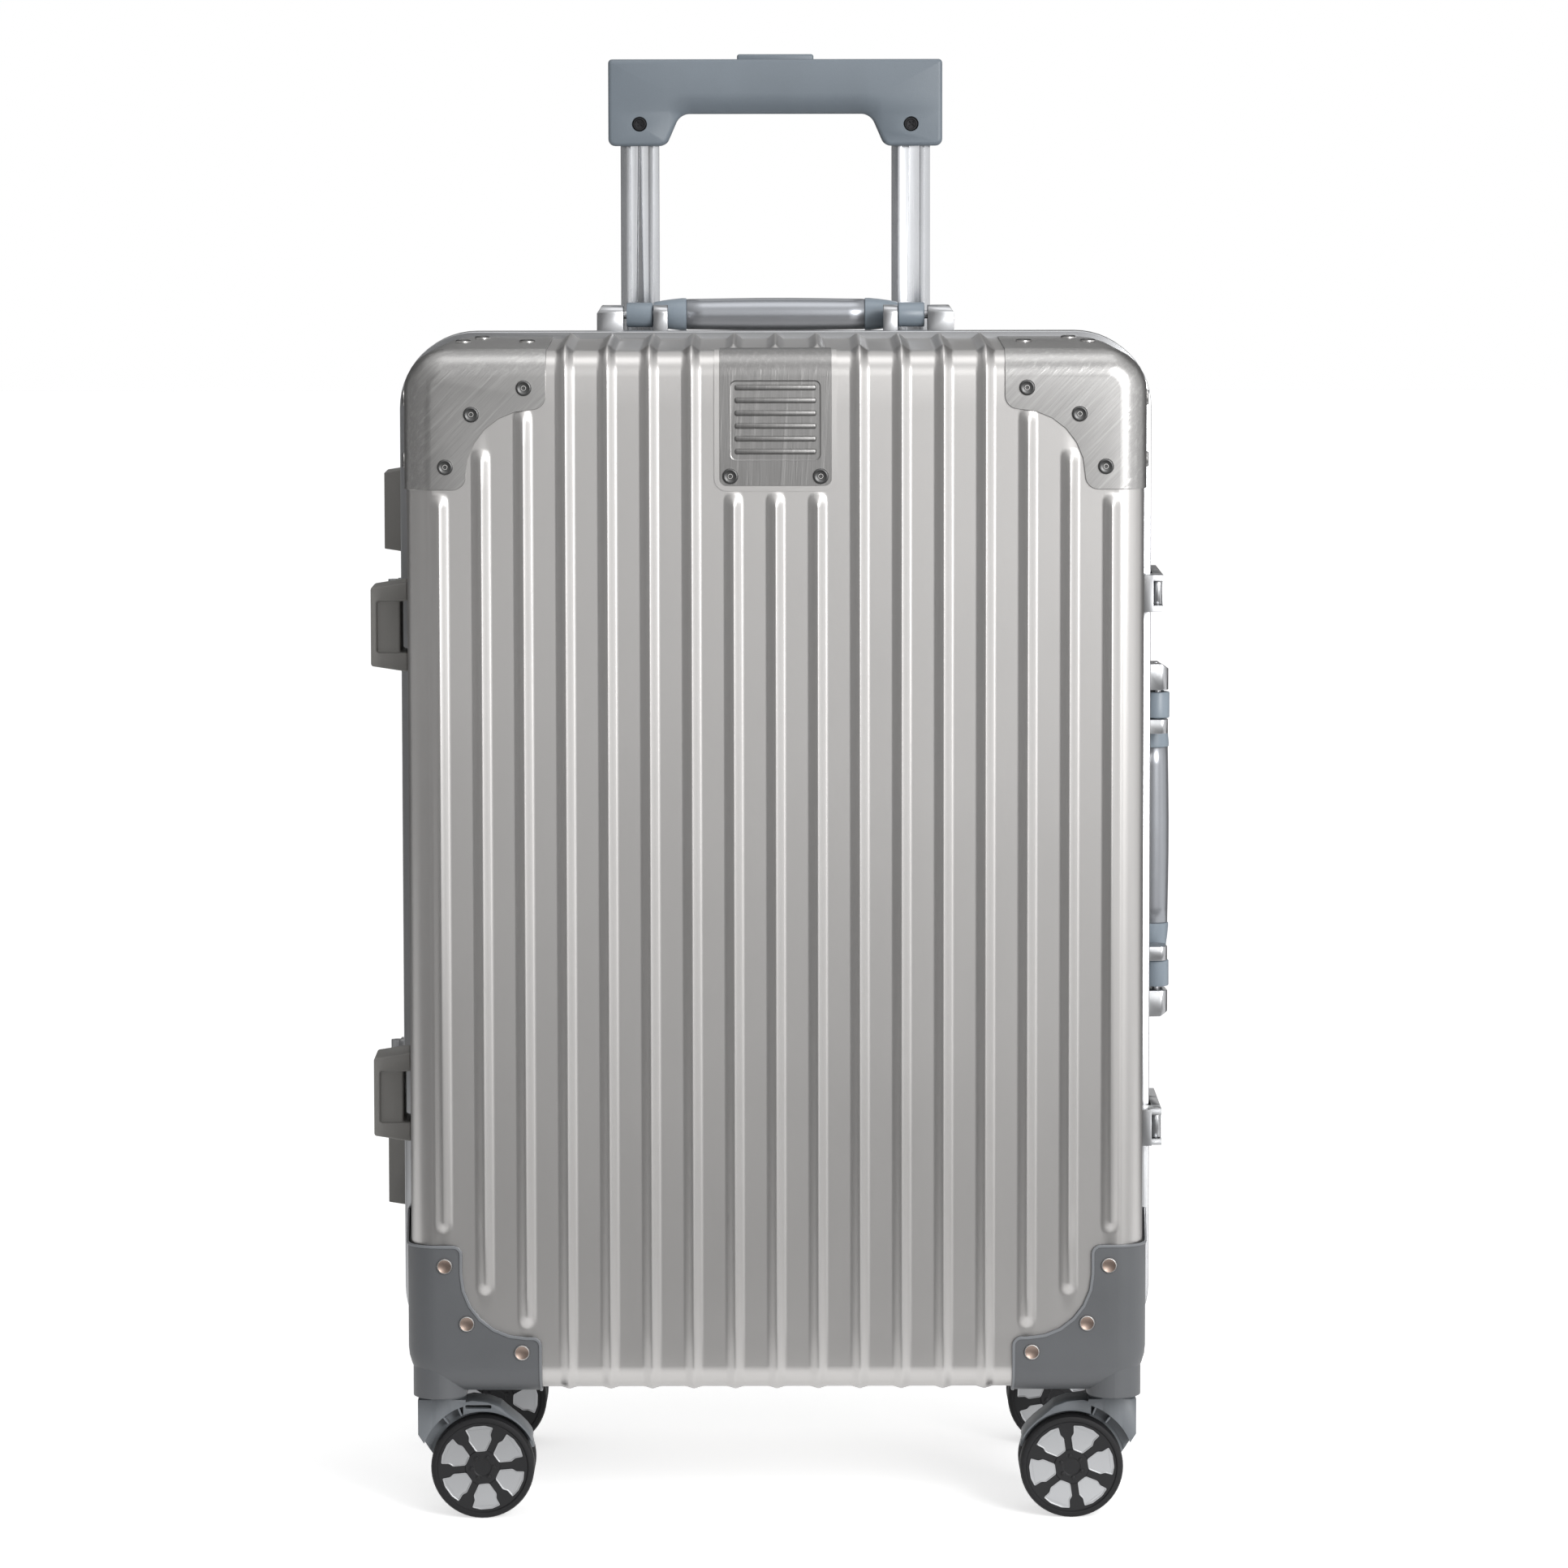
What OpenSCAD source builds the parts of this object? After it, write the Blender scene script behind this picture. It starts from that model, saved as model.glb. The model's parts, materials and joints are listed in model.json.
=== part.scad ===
// Hard shell cabin suitcase on four twin-wheel casters.
// Millimetres. +Z up, the floor is z = 0, the case stands centred on the origin.
// The front shell faces -Y, the hinges are on -X, the latches on +X.

/* [Shells] */
// Width of a shell at its face edge
shell_w = 352; // [330:1:376]
// Height of a shell at its face edge
shell_h = 500; // [470:1:530]
// Depth over both shell faces
shell_d = 225; // [215:1:250]
// Height of the shells above the floor
shell_z = 65.5; // [64:0.5:70]
// How far each side wall flares out at the frame
flare_x = 5; // [4:0.5:6]
// How far the top and bottom walls flare out at the frame
flare_z = 2; // [1:0.5:3]
// Sheet thickness of the shells
wall = 1.2; // [0.8:0.1:1.6]
// Corner radius of the face outline
face_corner_r = 18; // [16:1:22]
// Corner radius of the outline at the frame
frame_corner_r = 34; // [30:1:38]
// Radius of the edge between a face and its walls
edge_r = 12; // [8:1:14]

/* [Ribs] */
// Number of ribs across a face
rib_count = 17; // [13:2:17]
// Distance from a side of the face to the middle of the outermost rib
rib_margin = 16; // [15:0.5:20]
// Width of a rib at its foot
rib_w = 8; // [6:0.5:10]
// Height of a rib
rib_h = 2.7; // [1.5:0.1:3.5]

/* [Frame] */
// Depth of each frame half
frame_depth = 8; // [6:0.5:10]
// How far the frame stands out past the flared wall
frame_proud = 3.5; // [3:0.5:5]
// Width of the frame section
frame_w = 9; // [8:0.5:12]
// Gap between the two frame halves
frame_gap = 0.3; // [0.3:0.1:0.6]
// Thickness of the tongue on the rear frame
tongue_t = 2; // [1.5:0.1:2.5]
// Height of the tongue
tongue_h = 3.6; // [2:0.2:4]
// Room around the tongue
tongue_gap = 0.7; // [0.6:0.1:1]
// Thickness of the rubber seal
seal_t = 1.6; // [1:0.1:2]

/* [Corner guards] */
// Width of a top guard on the face
top_guard_w = 67; // [60:1:72]
// Height of a top guard on the face
top_guard_h = 66; // [60:1:72]
// Radius of the hollow corner of a top guard
top_guard_hollow_r = 40; // [34:1:44]
// Sheet thickness of a top guard
top_guard_t = 1; // [0.6:0.1:1.5]
// Width of a lower guard on the face
low_guard_w = 63; // [58:1:66]
// Height of a lower guard
low_guard_h = 71; // [62:1:76]
// Width of the upright leg of a lower guard
low_guard_leg_w = 25; // [22:1:28]
// Height of the flat leg of a lower guard
low_guard_leg_h = 26.5; // [22:0.5:30]
// Wall thickness of a lower guard
low_guard_t = 1.6; // [1.2:0.1:2]

/* [Rivets] */
// Diameter of a rivet head
rivet_d = 7.6; // [6:0.2:9]
// Height of a rivet head
rivet_h = 1.2; // [0.8:0.1:2]

/* [Badge plate] */
// Width of the blank badge plate
badge_w = 53; // [44:1:55]
// How far the badge plate reaches down the face
badge_h = 64; // [56:1:72]
// Sheet thickness of the badge plate
badge_t = 1; // [0.6:0.1:1.2]

/* [Hinges] */
// Distances of the hinges from the lower and the upper edge of the shells
hinge_ends = [136.5, 134.5]; // [110:0.5:150]
// Length of a hinge
hinge_len = 36; // [30:1:44]
// Radius of a hinge knuckle
knuckle_r = 3.2; // [2.8:0.1:3.6]
// Diameter of a hinge pin
hinge_pin_d = 3; // [2.4:0.1:3.4]
// Thickness of a hinge leaf
leaf_t = 2; // [1.5:0.1:2.2]
// Width of a hinge leaf
leaf_w = 7.5; // [6:0.5:7.5]

/* [Side feet] */
// How far a side foot stands out past the edge of the face
foot_out = 19.5; // [16:0.5:22]
// Height of the foot where it meets the wall
foot_base = 46; // [40:1:50]
// Height of the outer face of the foot
foot_tip = 38; // [32:1:42]
// Depth of a foot
foot_depth = 30; // [24:1:36]
// Distance of a foot's middle from the frame joint
foot_y = 57; // [52:1:66]
// Distances of the front feet from the lower and the upper edge of the shells
front_foot_ends = [136.5, 134.5]; // [110:0.5:150]
// Distances of the rear feet from the lower and the upper edge of the shells
rear_foot_ends = [84.5, 85.5]; // [82:0.5:105]
// Height of the finger recess in a foot
foot_window = 25; // [20:1:28]

/* [Latches] */
// Distances of the latches from the lower and the upper edge of the shells
latch_ends = [114.5, 122]; // [105:0.5:130]
// Height of a latch
latch_h = 18; // [16:0.5:22]
// How far a latch stands out past the frame
latch_out = 5; // [5:0.1:7]
// Length of the dial housing
latch_len = 30; // [28:1:34]
// Radius of a number dial
dial_r = 4; // [3.6:0.1:4]
// Width of a number dial
dial_w = 4; // [3:0.2:4.4]
// Distance between two dials
dial_pitch = 7; // [6.6:0.1:7.4]
// Diameter of the dial shaft
dial_shaft_d = 2.4; // [2:0.1:2.8]
// Thickness of a latch lever
lever_t = 2.2; // [1.8:0.1:2.4]
// Distance of the lever's pin from the frame joint
lever_pin_y = 24; // [22:1:28]
// Diameter of the lever's pin
lever_pin_d = 2.6; // [2:0.1:2.8]

/* [Trolley] */
// Distance between the two tube centres
trolley_gauge = 136.6; // [120:0.2:140]
// Distance of the tubes from the rear face
trolley_in = 21.5; // [20.5:0.5:24]
// Width of an inner tube
tube_w = 19.4; // [17:0.2:20]
// Depth of an inner tube
tube_d = 12; // [10:0.2:12.4]
// Wall thickness of every tube
tube_wall = 1; // [0.8:0.1:1.2]
// Play between two tubes on each side
tube_play = 0.3; // [0.3:0.05:0.4]
// Corner chamfer of an inner tube
tube_chamfer = 3; // [2:0.2:4]
// Length of an inner tube
inner_len = 460; // [430:5:470]
// Height of the grip's lower edge over the shells as it stands
grip_over = 95.5; // [75:0.5:110]
// How deep the inner tubes sit in the grip
tube_seat = 14; // [10:1:18]
// Radius of a release rod
rod_r = 2.5; // [2:0.1:3]
// How far the button goes down
button_travel = 2; // [1.5:0.5:2]

/* [Trolley grip] */
// Length of the grip
grip_len = 168; // [160:1:172]
// Overall height of the grip
grip_h = 43.5; // [40:0.5:48]
// Height of the bar between the legs
grip_bar_h = 27.5; // [24:0.5:30]
// Width of a leg at its lower edge
grip_leg_w = 29; // [27:1:32]
// Depth of the grip
grip_d = 21; // [18:0.5:24]
// Length of the release button
button_len = 38.5; // [34:0.5:44]
// Depth of the release button
button_d = 14; // [12:0.5:15]
// How far the button stands up
button_proud = 2.5; // [2.2:0.1:3.5]
// Diameter of a grip screw
grip_screw_d = 7; // [6:0.2:8]

/* [Carry handles] */
// Length over the handle's brackets
handle_len = 177; // [170:1:184]
// Distance of a handle's pins from the frame joint
handle_y = 34; // [30:1:40]
// Height of the handle's pins over the flared wall
handle_pin_h = 10.8; // [10:0.2:12]
// Distance from the pins to the middle of the grip
handle_swing_r = 20; // [18:0.5:24]
// Radius of the grip
handle_grip_r = 8.2; // [7.5:0.1:8.6]
// Length of the grip tube between its sleeves
handle_grip_len = 89; // [80:1:94]
// Length of a grip sleeve
handle_sleeve_len = 11; // [8:0.5:13]
// Radius of the barrel on the pin
handle_barrel_r = 6.1; // [5.5:0.1:6.2]
// Diameter of a handle pin
handle_pin_d = 4; // [3:0.2:5]
// Length of the outer bracket block
handle_block_len = 13; // [11:0.5:14]
// Length of the inner bracket post
handle_post_len = 7; // [6:0.5:8]
// Width of a bracket block across the handle
handle_block_w = 19; // [17:0.5:20]

/* [Casters] */
// Distance of a swivel axis from the side of the face
caster_in_x = 13.5; // [12:0.5:18]
// Distance of a swivel axis from the face
caster_in_y = 29.5; // [27.5:0.5:32]
// How far the wheels trail behind the swivel axis
caster_trail = 20; // [18:0.5:22]
// Radius of a wheel
wheel_r = 25; // [22:0.5:25]
// Width of one wheel
wheel_w = 11; // [9:0.5:12]
// Thickness of the fork between the wheels
fork_t = 8; // [6:0.5:9]
// Gap between the fork and a wheel
wheel_gap = 0.5; // [0.4:0.1:1]
// Diameter of the axle
axle_d = 6; // [5:0.2:7]
// Radius of the fork's collar
collar_r = 11.4; // [10:0.2:12]
// Diameter of the swivel pin
kingpin_d = 8; // [7:0.5:9]
// Radial play of a turning pin
pin_play = 0.05; // [0.03:0.01:0.08]

/* [Lining] */
// Thickness of the lining
lining_t = 1.5; // [1:0.1:2]
// Room between a shell and its lining
lining_gap = 0.4; // [0.3:0.1:0.8]
// Width of a packing strap
strap_w = 25; // [20:1:30]
// Thickness of a packing strap
strap_t = 1.4; // [1:0.1:2]
// Distance between the two packing straps
strap_apart = 180; // [120:5:240]
// Width of a strap buckle
buckle_w = 44; // [36:1:54]
// Thickness of a strap buckle
buckle_t = 5; // [3:0.5:7]
// Width of the zipped pocket
pocket_w = 290; // [200:5:300]
// Height of the zipped pocket
pocket_h = 380; // [250:5:400]
// Thickness of the zipped pocket
pocket_t = 1.5; // [1:0.1:3]

/* [Hidden] */

$fn = 48;
hull_fn = 28;
seat = 0.05;            // Gap between two pieces that are fixed to each other
clear = 0.3;            // Gap between two pieces that move past each other
thin = 0.01;            // Thickness of a slice that only shapes a hull
cut = 40;               // Reach of a cutting tool past what it cuts
shell_silver = [0.74, 0.73, 0.72];
bright_metal = [0.82, 0.83, 0.85];
guard_grey = [0.40, 0.42, 0.44];
handle_grey = [0.44, 0.47, 0.50];
dark_metal = [0.22, 0.22, 0.23];
tyre_black = [0.07, 0.07, 0.08];
lining_grey = [0.25, 0.26, 0.28];

mid_z = shell_z + shell_h / 2;
face_y = shell_d / 2;
top_z = shell_z + shell_h;
frame_outer_x = shell_w / 2 + flare_x + frame_proud;
flare_run = face_y - edge_r - frame_depth;
rib_spread = (rib_count - 1) / 2;
rib_pitch = (shell_w / 2 - rib_margin) / rib_spread;
roof_lean = atan(flare_z / flare_run);
side_lean = atan(flare_x / flare_run);
frame_lip = 2.5;                  // Outer lip of the front frame, over the tongue
groove_edge = frame_proud - frame_lip;
hinge_zs = from_ends(hinge_ends);
front_foot_zs = from_ends(front_foot_ends);
rear_foot_zs = from_ends(rear_foot_ends);
latch_zs = from_ends(latch_ends);
foot_reach = shell_w / 2 + foot_out;
latch_reach = frame_outer_x + latch_out;
caster_x = shell_w / 2 - caster_in_x;
caster_y = face_y - caster_in_y;
trolley_y = face_y - trolley_in;
grip_z = top_z + grip_over;
tongue_edge = groove_edge - tongue_gap;
groove_depth = tongue_h + tongue_gap;
hinge_x = frame_outer_x + knuckle_r + clear;
knuckle_len = hinge_len / 3;
housing_r = 8.5;                  // Cup of a swivel housing, inside the case
housing_boss_r = 13;              // Bulge of a swivel housing, under the case
housing_bottom = shell_z - flare_z - low_guard_t - 0.4;
housing_top = shell_z + 17;
fork_top = housing_bottom - clear;
kingpin_top = housing_top - 4;
latch_pin_x = latch_reach - lever_t - 0.3;
dial_x = latch_reach + 0.3 - dial_r;
dial_ys = [for (k = [0 : 2]) frame_depth + 6 + k * dial_pitch];
roof_at_trolley = roof_z(trolley_y);
mid_grow = tube_play + tube_wall;
outer_grow = 2 * mid_grow;
tube_x = trolley_gauge / 2;
base_z = shell_z + wall + 0.4;
base_h = 12;
base_side = 18;                   // The base reaches this far past a tube's centre
base_back = 9;
outer_bottom = base_z + 4;
mid_bottom = outer_bottom + 6;
inner_top = grip_z + tube_seat;
inner_bottom = inner_top - inner_len;
grip_top = grip_z + grip_h;
bar_z = grip_top - grip_bar_h;    // Lower edge of the bar
yoke_h = 5;                       // Cross bar of the button, inside the grip
yoke_d = 7;
yoke_z = bar_z + 11;
handle_half = handle_len / 2;
block_x = handle_half - handle_block_len;
post_x = block_x - 15;
barrel_gap = 1.5;                 // Bare pin between the block and the barrel
barrel_x0 = post_x + clear;
barrel_x1 = block_x - barrel_gap;
lining_in = wall + lining_gap;
base_front = tube_d / 2 + outer_grow + 2;
rear_lining_y = trolley_y - base_front - 0.5;

// Half width of the case, and height of its top wall, at a distance y from the joint
function side_x(y) = shell_w / 2 + flare_x * (face_y - edge_r - y) / flare_run;
function roof_z(y) = top_z + flare_z * (face_y - edge_r - y) / flare_run;

// Two heights, from their distances to the lower and the upper edge of the shells
function from_ends(ends) = [shell_z + ends[0], top_z - ends[1]];

// ---------- Shared shapes ----------

// A rectangle with round corners, centred
module rounded_rect(w, h, r) {
    square([w - 2 * r, h], center = true);
    square([w, h - 2 * r], center = true);
    for (sx = [-1, 1], sz = [-1, 1])
        translate([sx * (w / 2 - r), sz * (h / 2 - r)]) circle(r);
}

// Extrudes an outline drawn in X and Z from y0 to y1
module along_y(y0, y1) {
    translate([0, y1, 0]) rotate([90, 0, 0]) linear_extrude(y1 - y0) children();
}

// Extrudes an outline drawn in Y and Z from x0 to x1
module along_x(x0, x1) {
    translate([x0, 0, 0]) rotate([90, 0, 90]) linear_extrude(x1 - x0) children();
}

// The outline of the case, grown sideways, upwards and at its corners
module case_outline(grow_x, grow_z, r) {
    translate([0, mid_z])
        rounded_rect(shell_w + 2 * grow_x, shell_h + 2 * grow_z, r);
}

// The solid outer form of the front half, grown by g, open end carried on by over
module case_form(g = 0, over = 0) {
    hull() {
        along_y(-frame_depth - thin, -frame_depth + over)
            case_outline(flare_x + g, flare_z + g, frame_corner_r + g, $fn = hull_fn);
        for (sx = [-1, 1], sz = [-1, 1])
            translate([sx * (shell_w / 2 - face_corner_r), edge_r - face_y,
                       mid_z + sz * (shell_h / 2 - face_corner_r)])
                rotate([90, 0, 0]) rotate_extrude($fn = hull_fn)
                    intersection() {
                        translate([face_corner_r - edge_r, 0])
                            circle(edge_r + g, $fn = hull_fn);
                        translate([0, -edge_r - g]) square(2 * (edge_r + g) + face_corner_r);
                    }
    }
}

module mirrored_y() { mirror([0, 1, 0]) children(); }
module both_sides() { children(); mirror([1, 0, 0]) children(); }

// ---------- Shells ----------

// One thin triangular slice of a rib. It stands at (y, z) and leans by angle from the face
module rib_slice(y, z, angle, height) {
    translate([0, y, z]) rotate([angle, 0, 0])
        rotate([0, 0, 180]) linear_extrude(thin)
            polygon([[-rib_w / 2, -0.4], [rib_w / 2, -0.4], [0, height]]);
}

// The stretch of a rib between two stations [y, z, angle, height]
module rib_span(a, b) {
    hull() {
        rib_slice(a[0], a[1], a[2], a[3]);
        rib_slice(b[0], b[1], b[2], b[3]);
    }
}

// Stations of a rib that turns over the edge onto the roof (side = 1) or the floor (-1)
function rib_turn(side, end_y) = [
    for (k = [0 : 4])
        let (a = 90 * k / 4)
        [edge_r - face_y - edge_r * cos(a),
         mid_z + side * (shell_h / 2 - edge_r + edge_r * sin(a)),
         -side * a, rib_h],
    [-end_y, mid_z + side * (roof_z(end_y) - mid_z), -side * 90, rib_h]
];

// Stations of a rib that ends on the face at height z
function rib_stop(side, z) = [
    [-face_y, z - side * rib_h, 0, rib_h],
    [-face_y, z, 0, 0.01]
];

module rib(x, top_end, bottom_end) {
    reversed = [for (k = [len(bottom_end) - 1 : -1 : 0]) bottom_end[k]];
    path = concat(reversed, top_end);
    translate([x, 0, 0])
        for (k = [0 : len(path) - 2]) rib_span(path[k], path[k + 1]);
}

// How far a round hollow reaches over the outer foot of a rib, from_edge ribs from the side
function hollow_over(from_edge, centre, r) =
    let (dx = min(r, abs(centre - rib_margin - from_edge * rib_pitch + rib_w / 2)))
    sqrt(r * r - dx * dx);

// Ribs next to the corners stop at the guards' edges, given from the outermost rib
low_hollow_r = low_guard_w - low_guard_leg_w - 9;
top_gaps = [1.5, -0.6, -1.9];
bottom_gaps = [5, 9.4, 3.4];
top_stops = [for (e = [0 : 2])
    top_guard_h - hollow_over(e, top_guard_w, top_guard_hollow_r) + top_gaps[e]];
bottom_stops = [for (e = [0 : 2])
    (e == 0 ? low_guard_h : low_guard_leg_h + low_hollow_r
     - hollow_over(e, low_guard_leg_w + low_hollow_r, low_hollow_r)) + bottom_gaps[e]];
badge_half_ribs = floor(badge_w / 2 / rib_pitch);

function low_end(from_edge) = from_edge < len(bottom_stops)
    ? rib_stop(-1, shell_z + bottom_stops[from_edge]) : rib_turn(-1, frame_depth + thin);

module front_ribs() {
    for (k = [-rib_spread : rib_spread]) {
        from_edge = rib_spread - abs(k);
        high = from_edge < len(top_stops) ? rib_stop(1, top_z - top_stops[from_edge])
             : abs(k) <= badge_half_ribs ? rib_stop(1, top_z - badge_h - rib_h)
             : rib_turn(1, frame_depth + thin);
        rib(k * rib_pitch, high, low_end(from_edge));
    }
    // Behind the badge plate the ribs go on across the top wall
    for (k = [-badge_half_ribs : badge_half_ribs]) {
        start_y = face_y - edge_r - 3;
        translate([k * rib_pitch, 0, 0]) {
            rib_span([-start_y, roof_z(start_y), -90, 0.01],
                     [rib_h - start_y, roof_z(start_y), -90, rib_h]);
            rib_span([rib_h - start_y, roof_z(start_y), -90, rib_h],
                     [-frame_depth - thin, roof_z(frame_depth + thin), -90, rib_h]);
        }
    }
}

module rear_ribs() {
    for (k = [-rib_spread : rib_spread]) {
        from_edge = rib_spread - abs(k);
        last = len(top_stops) - 1;
        rib(k * rib_pitch, rib_stop(1, top_z - top_stops[min(from_edge, last)]),
            low_end(from_edge));
    }
}

// Holes for the swivel housings, which reach into the case
module housing_holes() {
    both_sides() translate([caster_x, -caster_y, 0])
        cylinder(h = shell_z + cut, r = housing_r + clear);
}

module open_tray() {
    difference() {
        case_form();
        case_form(-wall, over = 1);
        housing_holes();
    }
}

module front_shell() {
    color(shell_silver) {
        open_tray();
        front_ribs();
    }
}

module rear_shell() {
    color(shell_silver) difference() {
        mirrored_y() {
            open_tray();
            rear_ribs();
        }
        trolley_passage(clear);
    }
}

// ---------- Frame and seal ----------

// A band that follows the case outline, between two sideways growths
module frame_band(y0, y1, outer, inner) {
    along_y(y0, y1) difference() {
        case_outline(flare_x + outer, flare_z + outer, frame_corner_r + outer);
        case_outline(flare_x + inner, flare_z + inner, frame_corner_r + inner);
    }
}

module rear_frame() {
    color(bright_metal) {
        frame_band(0, frame_depth, frame_proud, frame_proud - frame_w);
        frame_band(-tongue_h, 1, tongue_edge, tongue_edge - tongue_t);
    }
}

module front_frame() {
    color(bright_metal) {
        frame_band(-frame_depth, -groove_depth, frame_proud, frame_proud - frame_w);
        frame_band(-groove_depth - 1, -frame_gap, frame_proud, groove_edge);
    }
}

module frame_seal() {
    outer = tongue_edge - tongue_t - seat;
    color(dark_metal)
        frame_band(clear - groove_depth, -seat, outer, outer - seal_t);
}

// ---------- Hinges ----------

module knuckle(k, r) {
    translate([-hinge_x, 0, (k - 1.5) * knuckle_len + clear / 2])
        cylinder(h = knuckle_len - clear, r = r);
}

module knuckle_room(k) {
    translate([-hinge_x, 0, (k - 1.5) * knuckle_len - clear / 2])
        cylinder(h = knuckle_len + clear, r = knuckle_r + clear);
}

// A leaf on the frame's outer side with the knuckles in the list own
module hinge_leaf(side, own, other, bore_r) {
    for (z = hinge_zs) translate([0, 0, z]) difference() {
        union() {
            translate([-frame_outer_x - seat - leaf_t, side > 0 ? clear : -leaf_w,
                       -hinge_len / 2])
                cube([leaf_t, leaf_w - clear, hinge_len]);
            for (k = own) knuckle(k, knuckle_r);
        }
        for (k = other) knuckle_room(k);
        translate([-hinge_x, 0, -hinge_len]) cylinder(h = 2 * hinge_len, r = bore_r);
    }
}

module rear_hinge_leaves() {
    color(bright_metal) {
        hinge_leaf(1, [0, 2], [1], hinge_pin_d / 2 + seat / 2);
        for (z = hinge_zs) translate([-hinge_x, 0, z - hinge_len / 2])
            cylinder(h = hinge_len, d = hinge_pin_d);
    }
}

module front_hinge_leaves() {
    color(bright_metal) hinge_leaf(-1, [1], [0, 2], hinge_pin_d / 2 + pin_play);
}

// ---------- Corner guards ----------

module guard_skin(t) {
    difference() {
        case_form(t);
        case_form(seat);
    }
}

// Outline of a top guard on the +X side, hollow towards the middle of the face
module top_guard_outline() {
    x0 = shell_w / 2 - top_guard_w;
    z0 = top_z - top_guard_h;
    difference() {
        translate([x0, z0]) square([top_guard_w + cut, top_guard_h + cut]);
        translate([x0, z0]) circle(top_guard_hollow_r);
    }
}

module low_guard_outline() {
    leg_x = shell_w / 2 - low_guard_leg_w;
    leg_z = shell_z + low_guard_leg_h;
    translate([leg_x, shell_z - cut]) square([low_guard_leg_w + cut, low_guard_h + cut]);
    translate([shell_w / 2 - low_guard_w, shell_z - cut])
        square([low_guard_w + cut, low_guard_leg_h + cut]);
    translate([leg_x - low_hollow_r, leg_z]) difference() {
        square(low_hollow_r);
        translate([0, low_hollow_r]) circle(low_hollow_r);
    }
}

module top_guards() {
    intersection() {
        guard_skin(top_guard_t);
        both_sides() along_y(-face_y - cut, -frame_depth - seat) top_guard_outline();
    }
}

// The bulge under the case that the swivel turns in
module housing_boss() {
    reach = face_y - caster_y - housing_boss_r - low_guard_t;
    translate([caster_x, -caster_y, housing_bottom]) linear_extrude(15) {
        circle(housing_boss_r);
        translate([0, -reach]) circle(housing_boss_r);
        translate([-housing_boss_r, -reach]) square([2 * housing_boss_r, reach]);
    }
}

module lower_guards() {
    difference() {
        union() {
            intersection() {
                guard_skin(low_guard_t);
                both_sides() along_y(-face_y - cut, -frame_depth - seat) low_guard_outline();
            }
            difference() {
                both_sides() housing_boss();
                case_form(seat);
            }
            both_sides() translate([caster_x, -caster_y, housing_bottom])
                cylinder(h = housing_top - housing_bottom, r = housing_r);
        }
        both_sides() translate([caster_x, -caster_y, housing_bottom - 1])
            cylinder(h = kingpin_top + 2 - housing_bottom, r = kingpin_d / 2 + pin_play);
    }
}

module front_top_guards() { color(shell_silver) top_guards(); }
module rear_top_guards() { color(shell_silver) mirrored_y() top_guards(); }
module front_lower_guards() { color(guard_grey) lower_guards(); }
module rear_lower_guards() { color(guard_grey) mirrored_y() lower_guards(); }

// ---------- Badge plate ----------

module badge_plate() {
    color(shell_silver) intersection() {
        guard_skin(badge_t);
        translate([-badge_w / 2, -face_y - badge_t, top_z - badge_h])
            cube([badge_w, edge_r + badge_t, badge_h + cut]);
    }
}

// ---------- Rivets ----------

// A tubular rivet head that stands on z = 0
module rivet() {
    difference() {
        union() {
            cylinder(h = rivet_h / 2, d = rivet_d);
            translate([0, 0, rivet_h / 2])
                cylinder(h = rivet_h / 2, d1 = rivet_d, d2 = 0.8 * rivet_d);
        }
        translate([0, 0, rivet_h / 2]) cylinder(h = rivet_h, d = 0.3 * rivet_d);
    }
}

// On the face, over a sheet of thickness t
module face_rivet(x, z, t) {
    translate([x, -face_y - t - seat, z]) rotate([90, 0, 0]) rivet();
}

// On the roof or on a side wall, a distance y in front of the frame joint
module roof_rivet(x, y, t) {
    translate([x, -y, roof_z(y)]) rotate([roof_lean, 0, 0])
        translate([0, 0, t + 2 * seat]) rivet();
}

module side_rivet(z, y, t) {
    translate([side_x(y), -y, z]) rotate([0, 0, -side_lean]) rotate([0, 90, 0])
        translate([0, 0, t + 2 * seat]) rivet();
}

// Rivets as [distance from the side, distance from the top or the bottom]
top_guard_rivets = [[19, 55], [31.5, 30], [56.5, 17.5]];
low_guard_rivets = [[16.5, 61], [27, 33], [53.5, 19]];

module guard_rivets() {
    both_sides() {
        for (p = top_guard_rivets)
            face_rivet(shell_w / 2 - p[0], top_z - p[1], top_guard_t);
        for (p = low_guard_rivets)
            face_rivet(shell_w / 2 - p[0], shell_z + p[1], low_guard_t);
        for (p = [[25, 52], [56, 52], [33, 22]])
            roof_rivet(shell_w / 2 - p[0], p[1], top_guard_t);
        for (p = [[25, 52], [55, 52]])
            side_rivet(top_z - p[0], p[1], top_guard_t);
    }
}

module front_rivets() {
    color(dark_metal) {
        guard_rivets();
        both_sides() face_rivet(badge_w / 2 - 5, top_z - badge_h + 4.5, badge_t);
    }
}

module rear_rivets() {
    color(dark_metal) mirrored_y() {
        guard_rivets();
        both_sides() roof_rivet(28, frame_depth + 8, 0);
    }
}

// ---------- Side feet ----------

module side_foot(z) {
    inner_x = shell_w / 2 - 6;
    y0 = -foot_y - foot_depth / 2;
    difference() {
        along_y(y0, y0 + foot_depth)
            polygon([[-inner_x, z - foot_base / 2], [-foot_reach, z - foot_tip / 2],
                     [-foot_reach, z + foot_tip / 2], [-inner_x, z + foot_base / 2]]);
        translate([-side_x(foot_y) - 3, y0 - 1, z - foot_window / 2])
            cube([cut, foot_depth + 2, foot_window]);
        translate([3 - foot_reach, y0 - 1, z - foot_window / 2])
            cube([cut, 3, foot_window]);
    }
}

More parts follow.
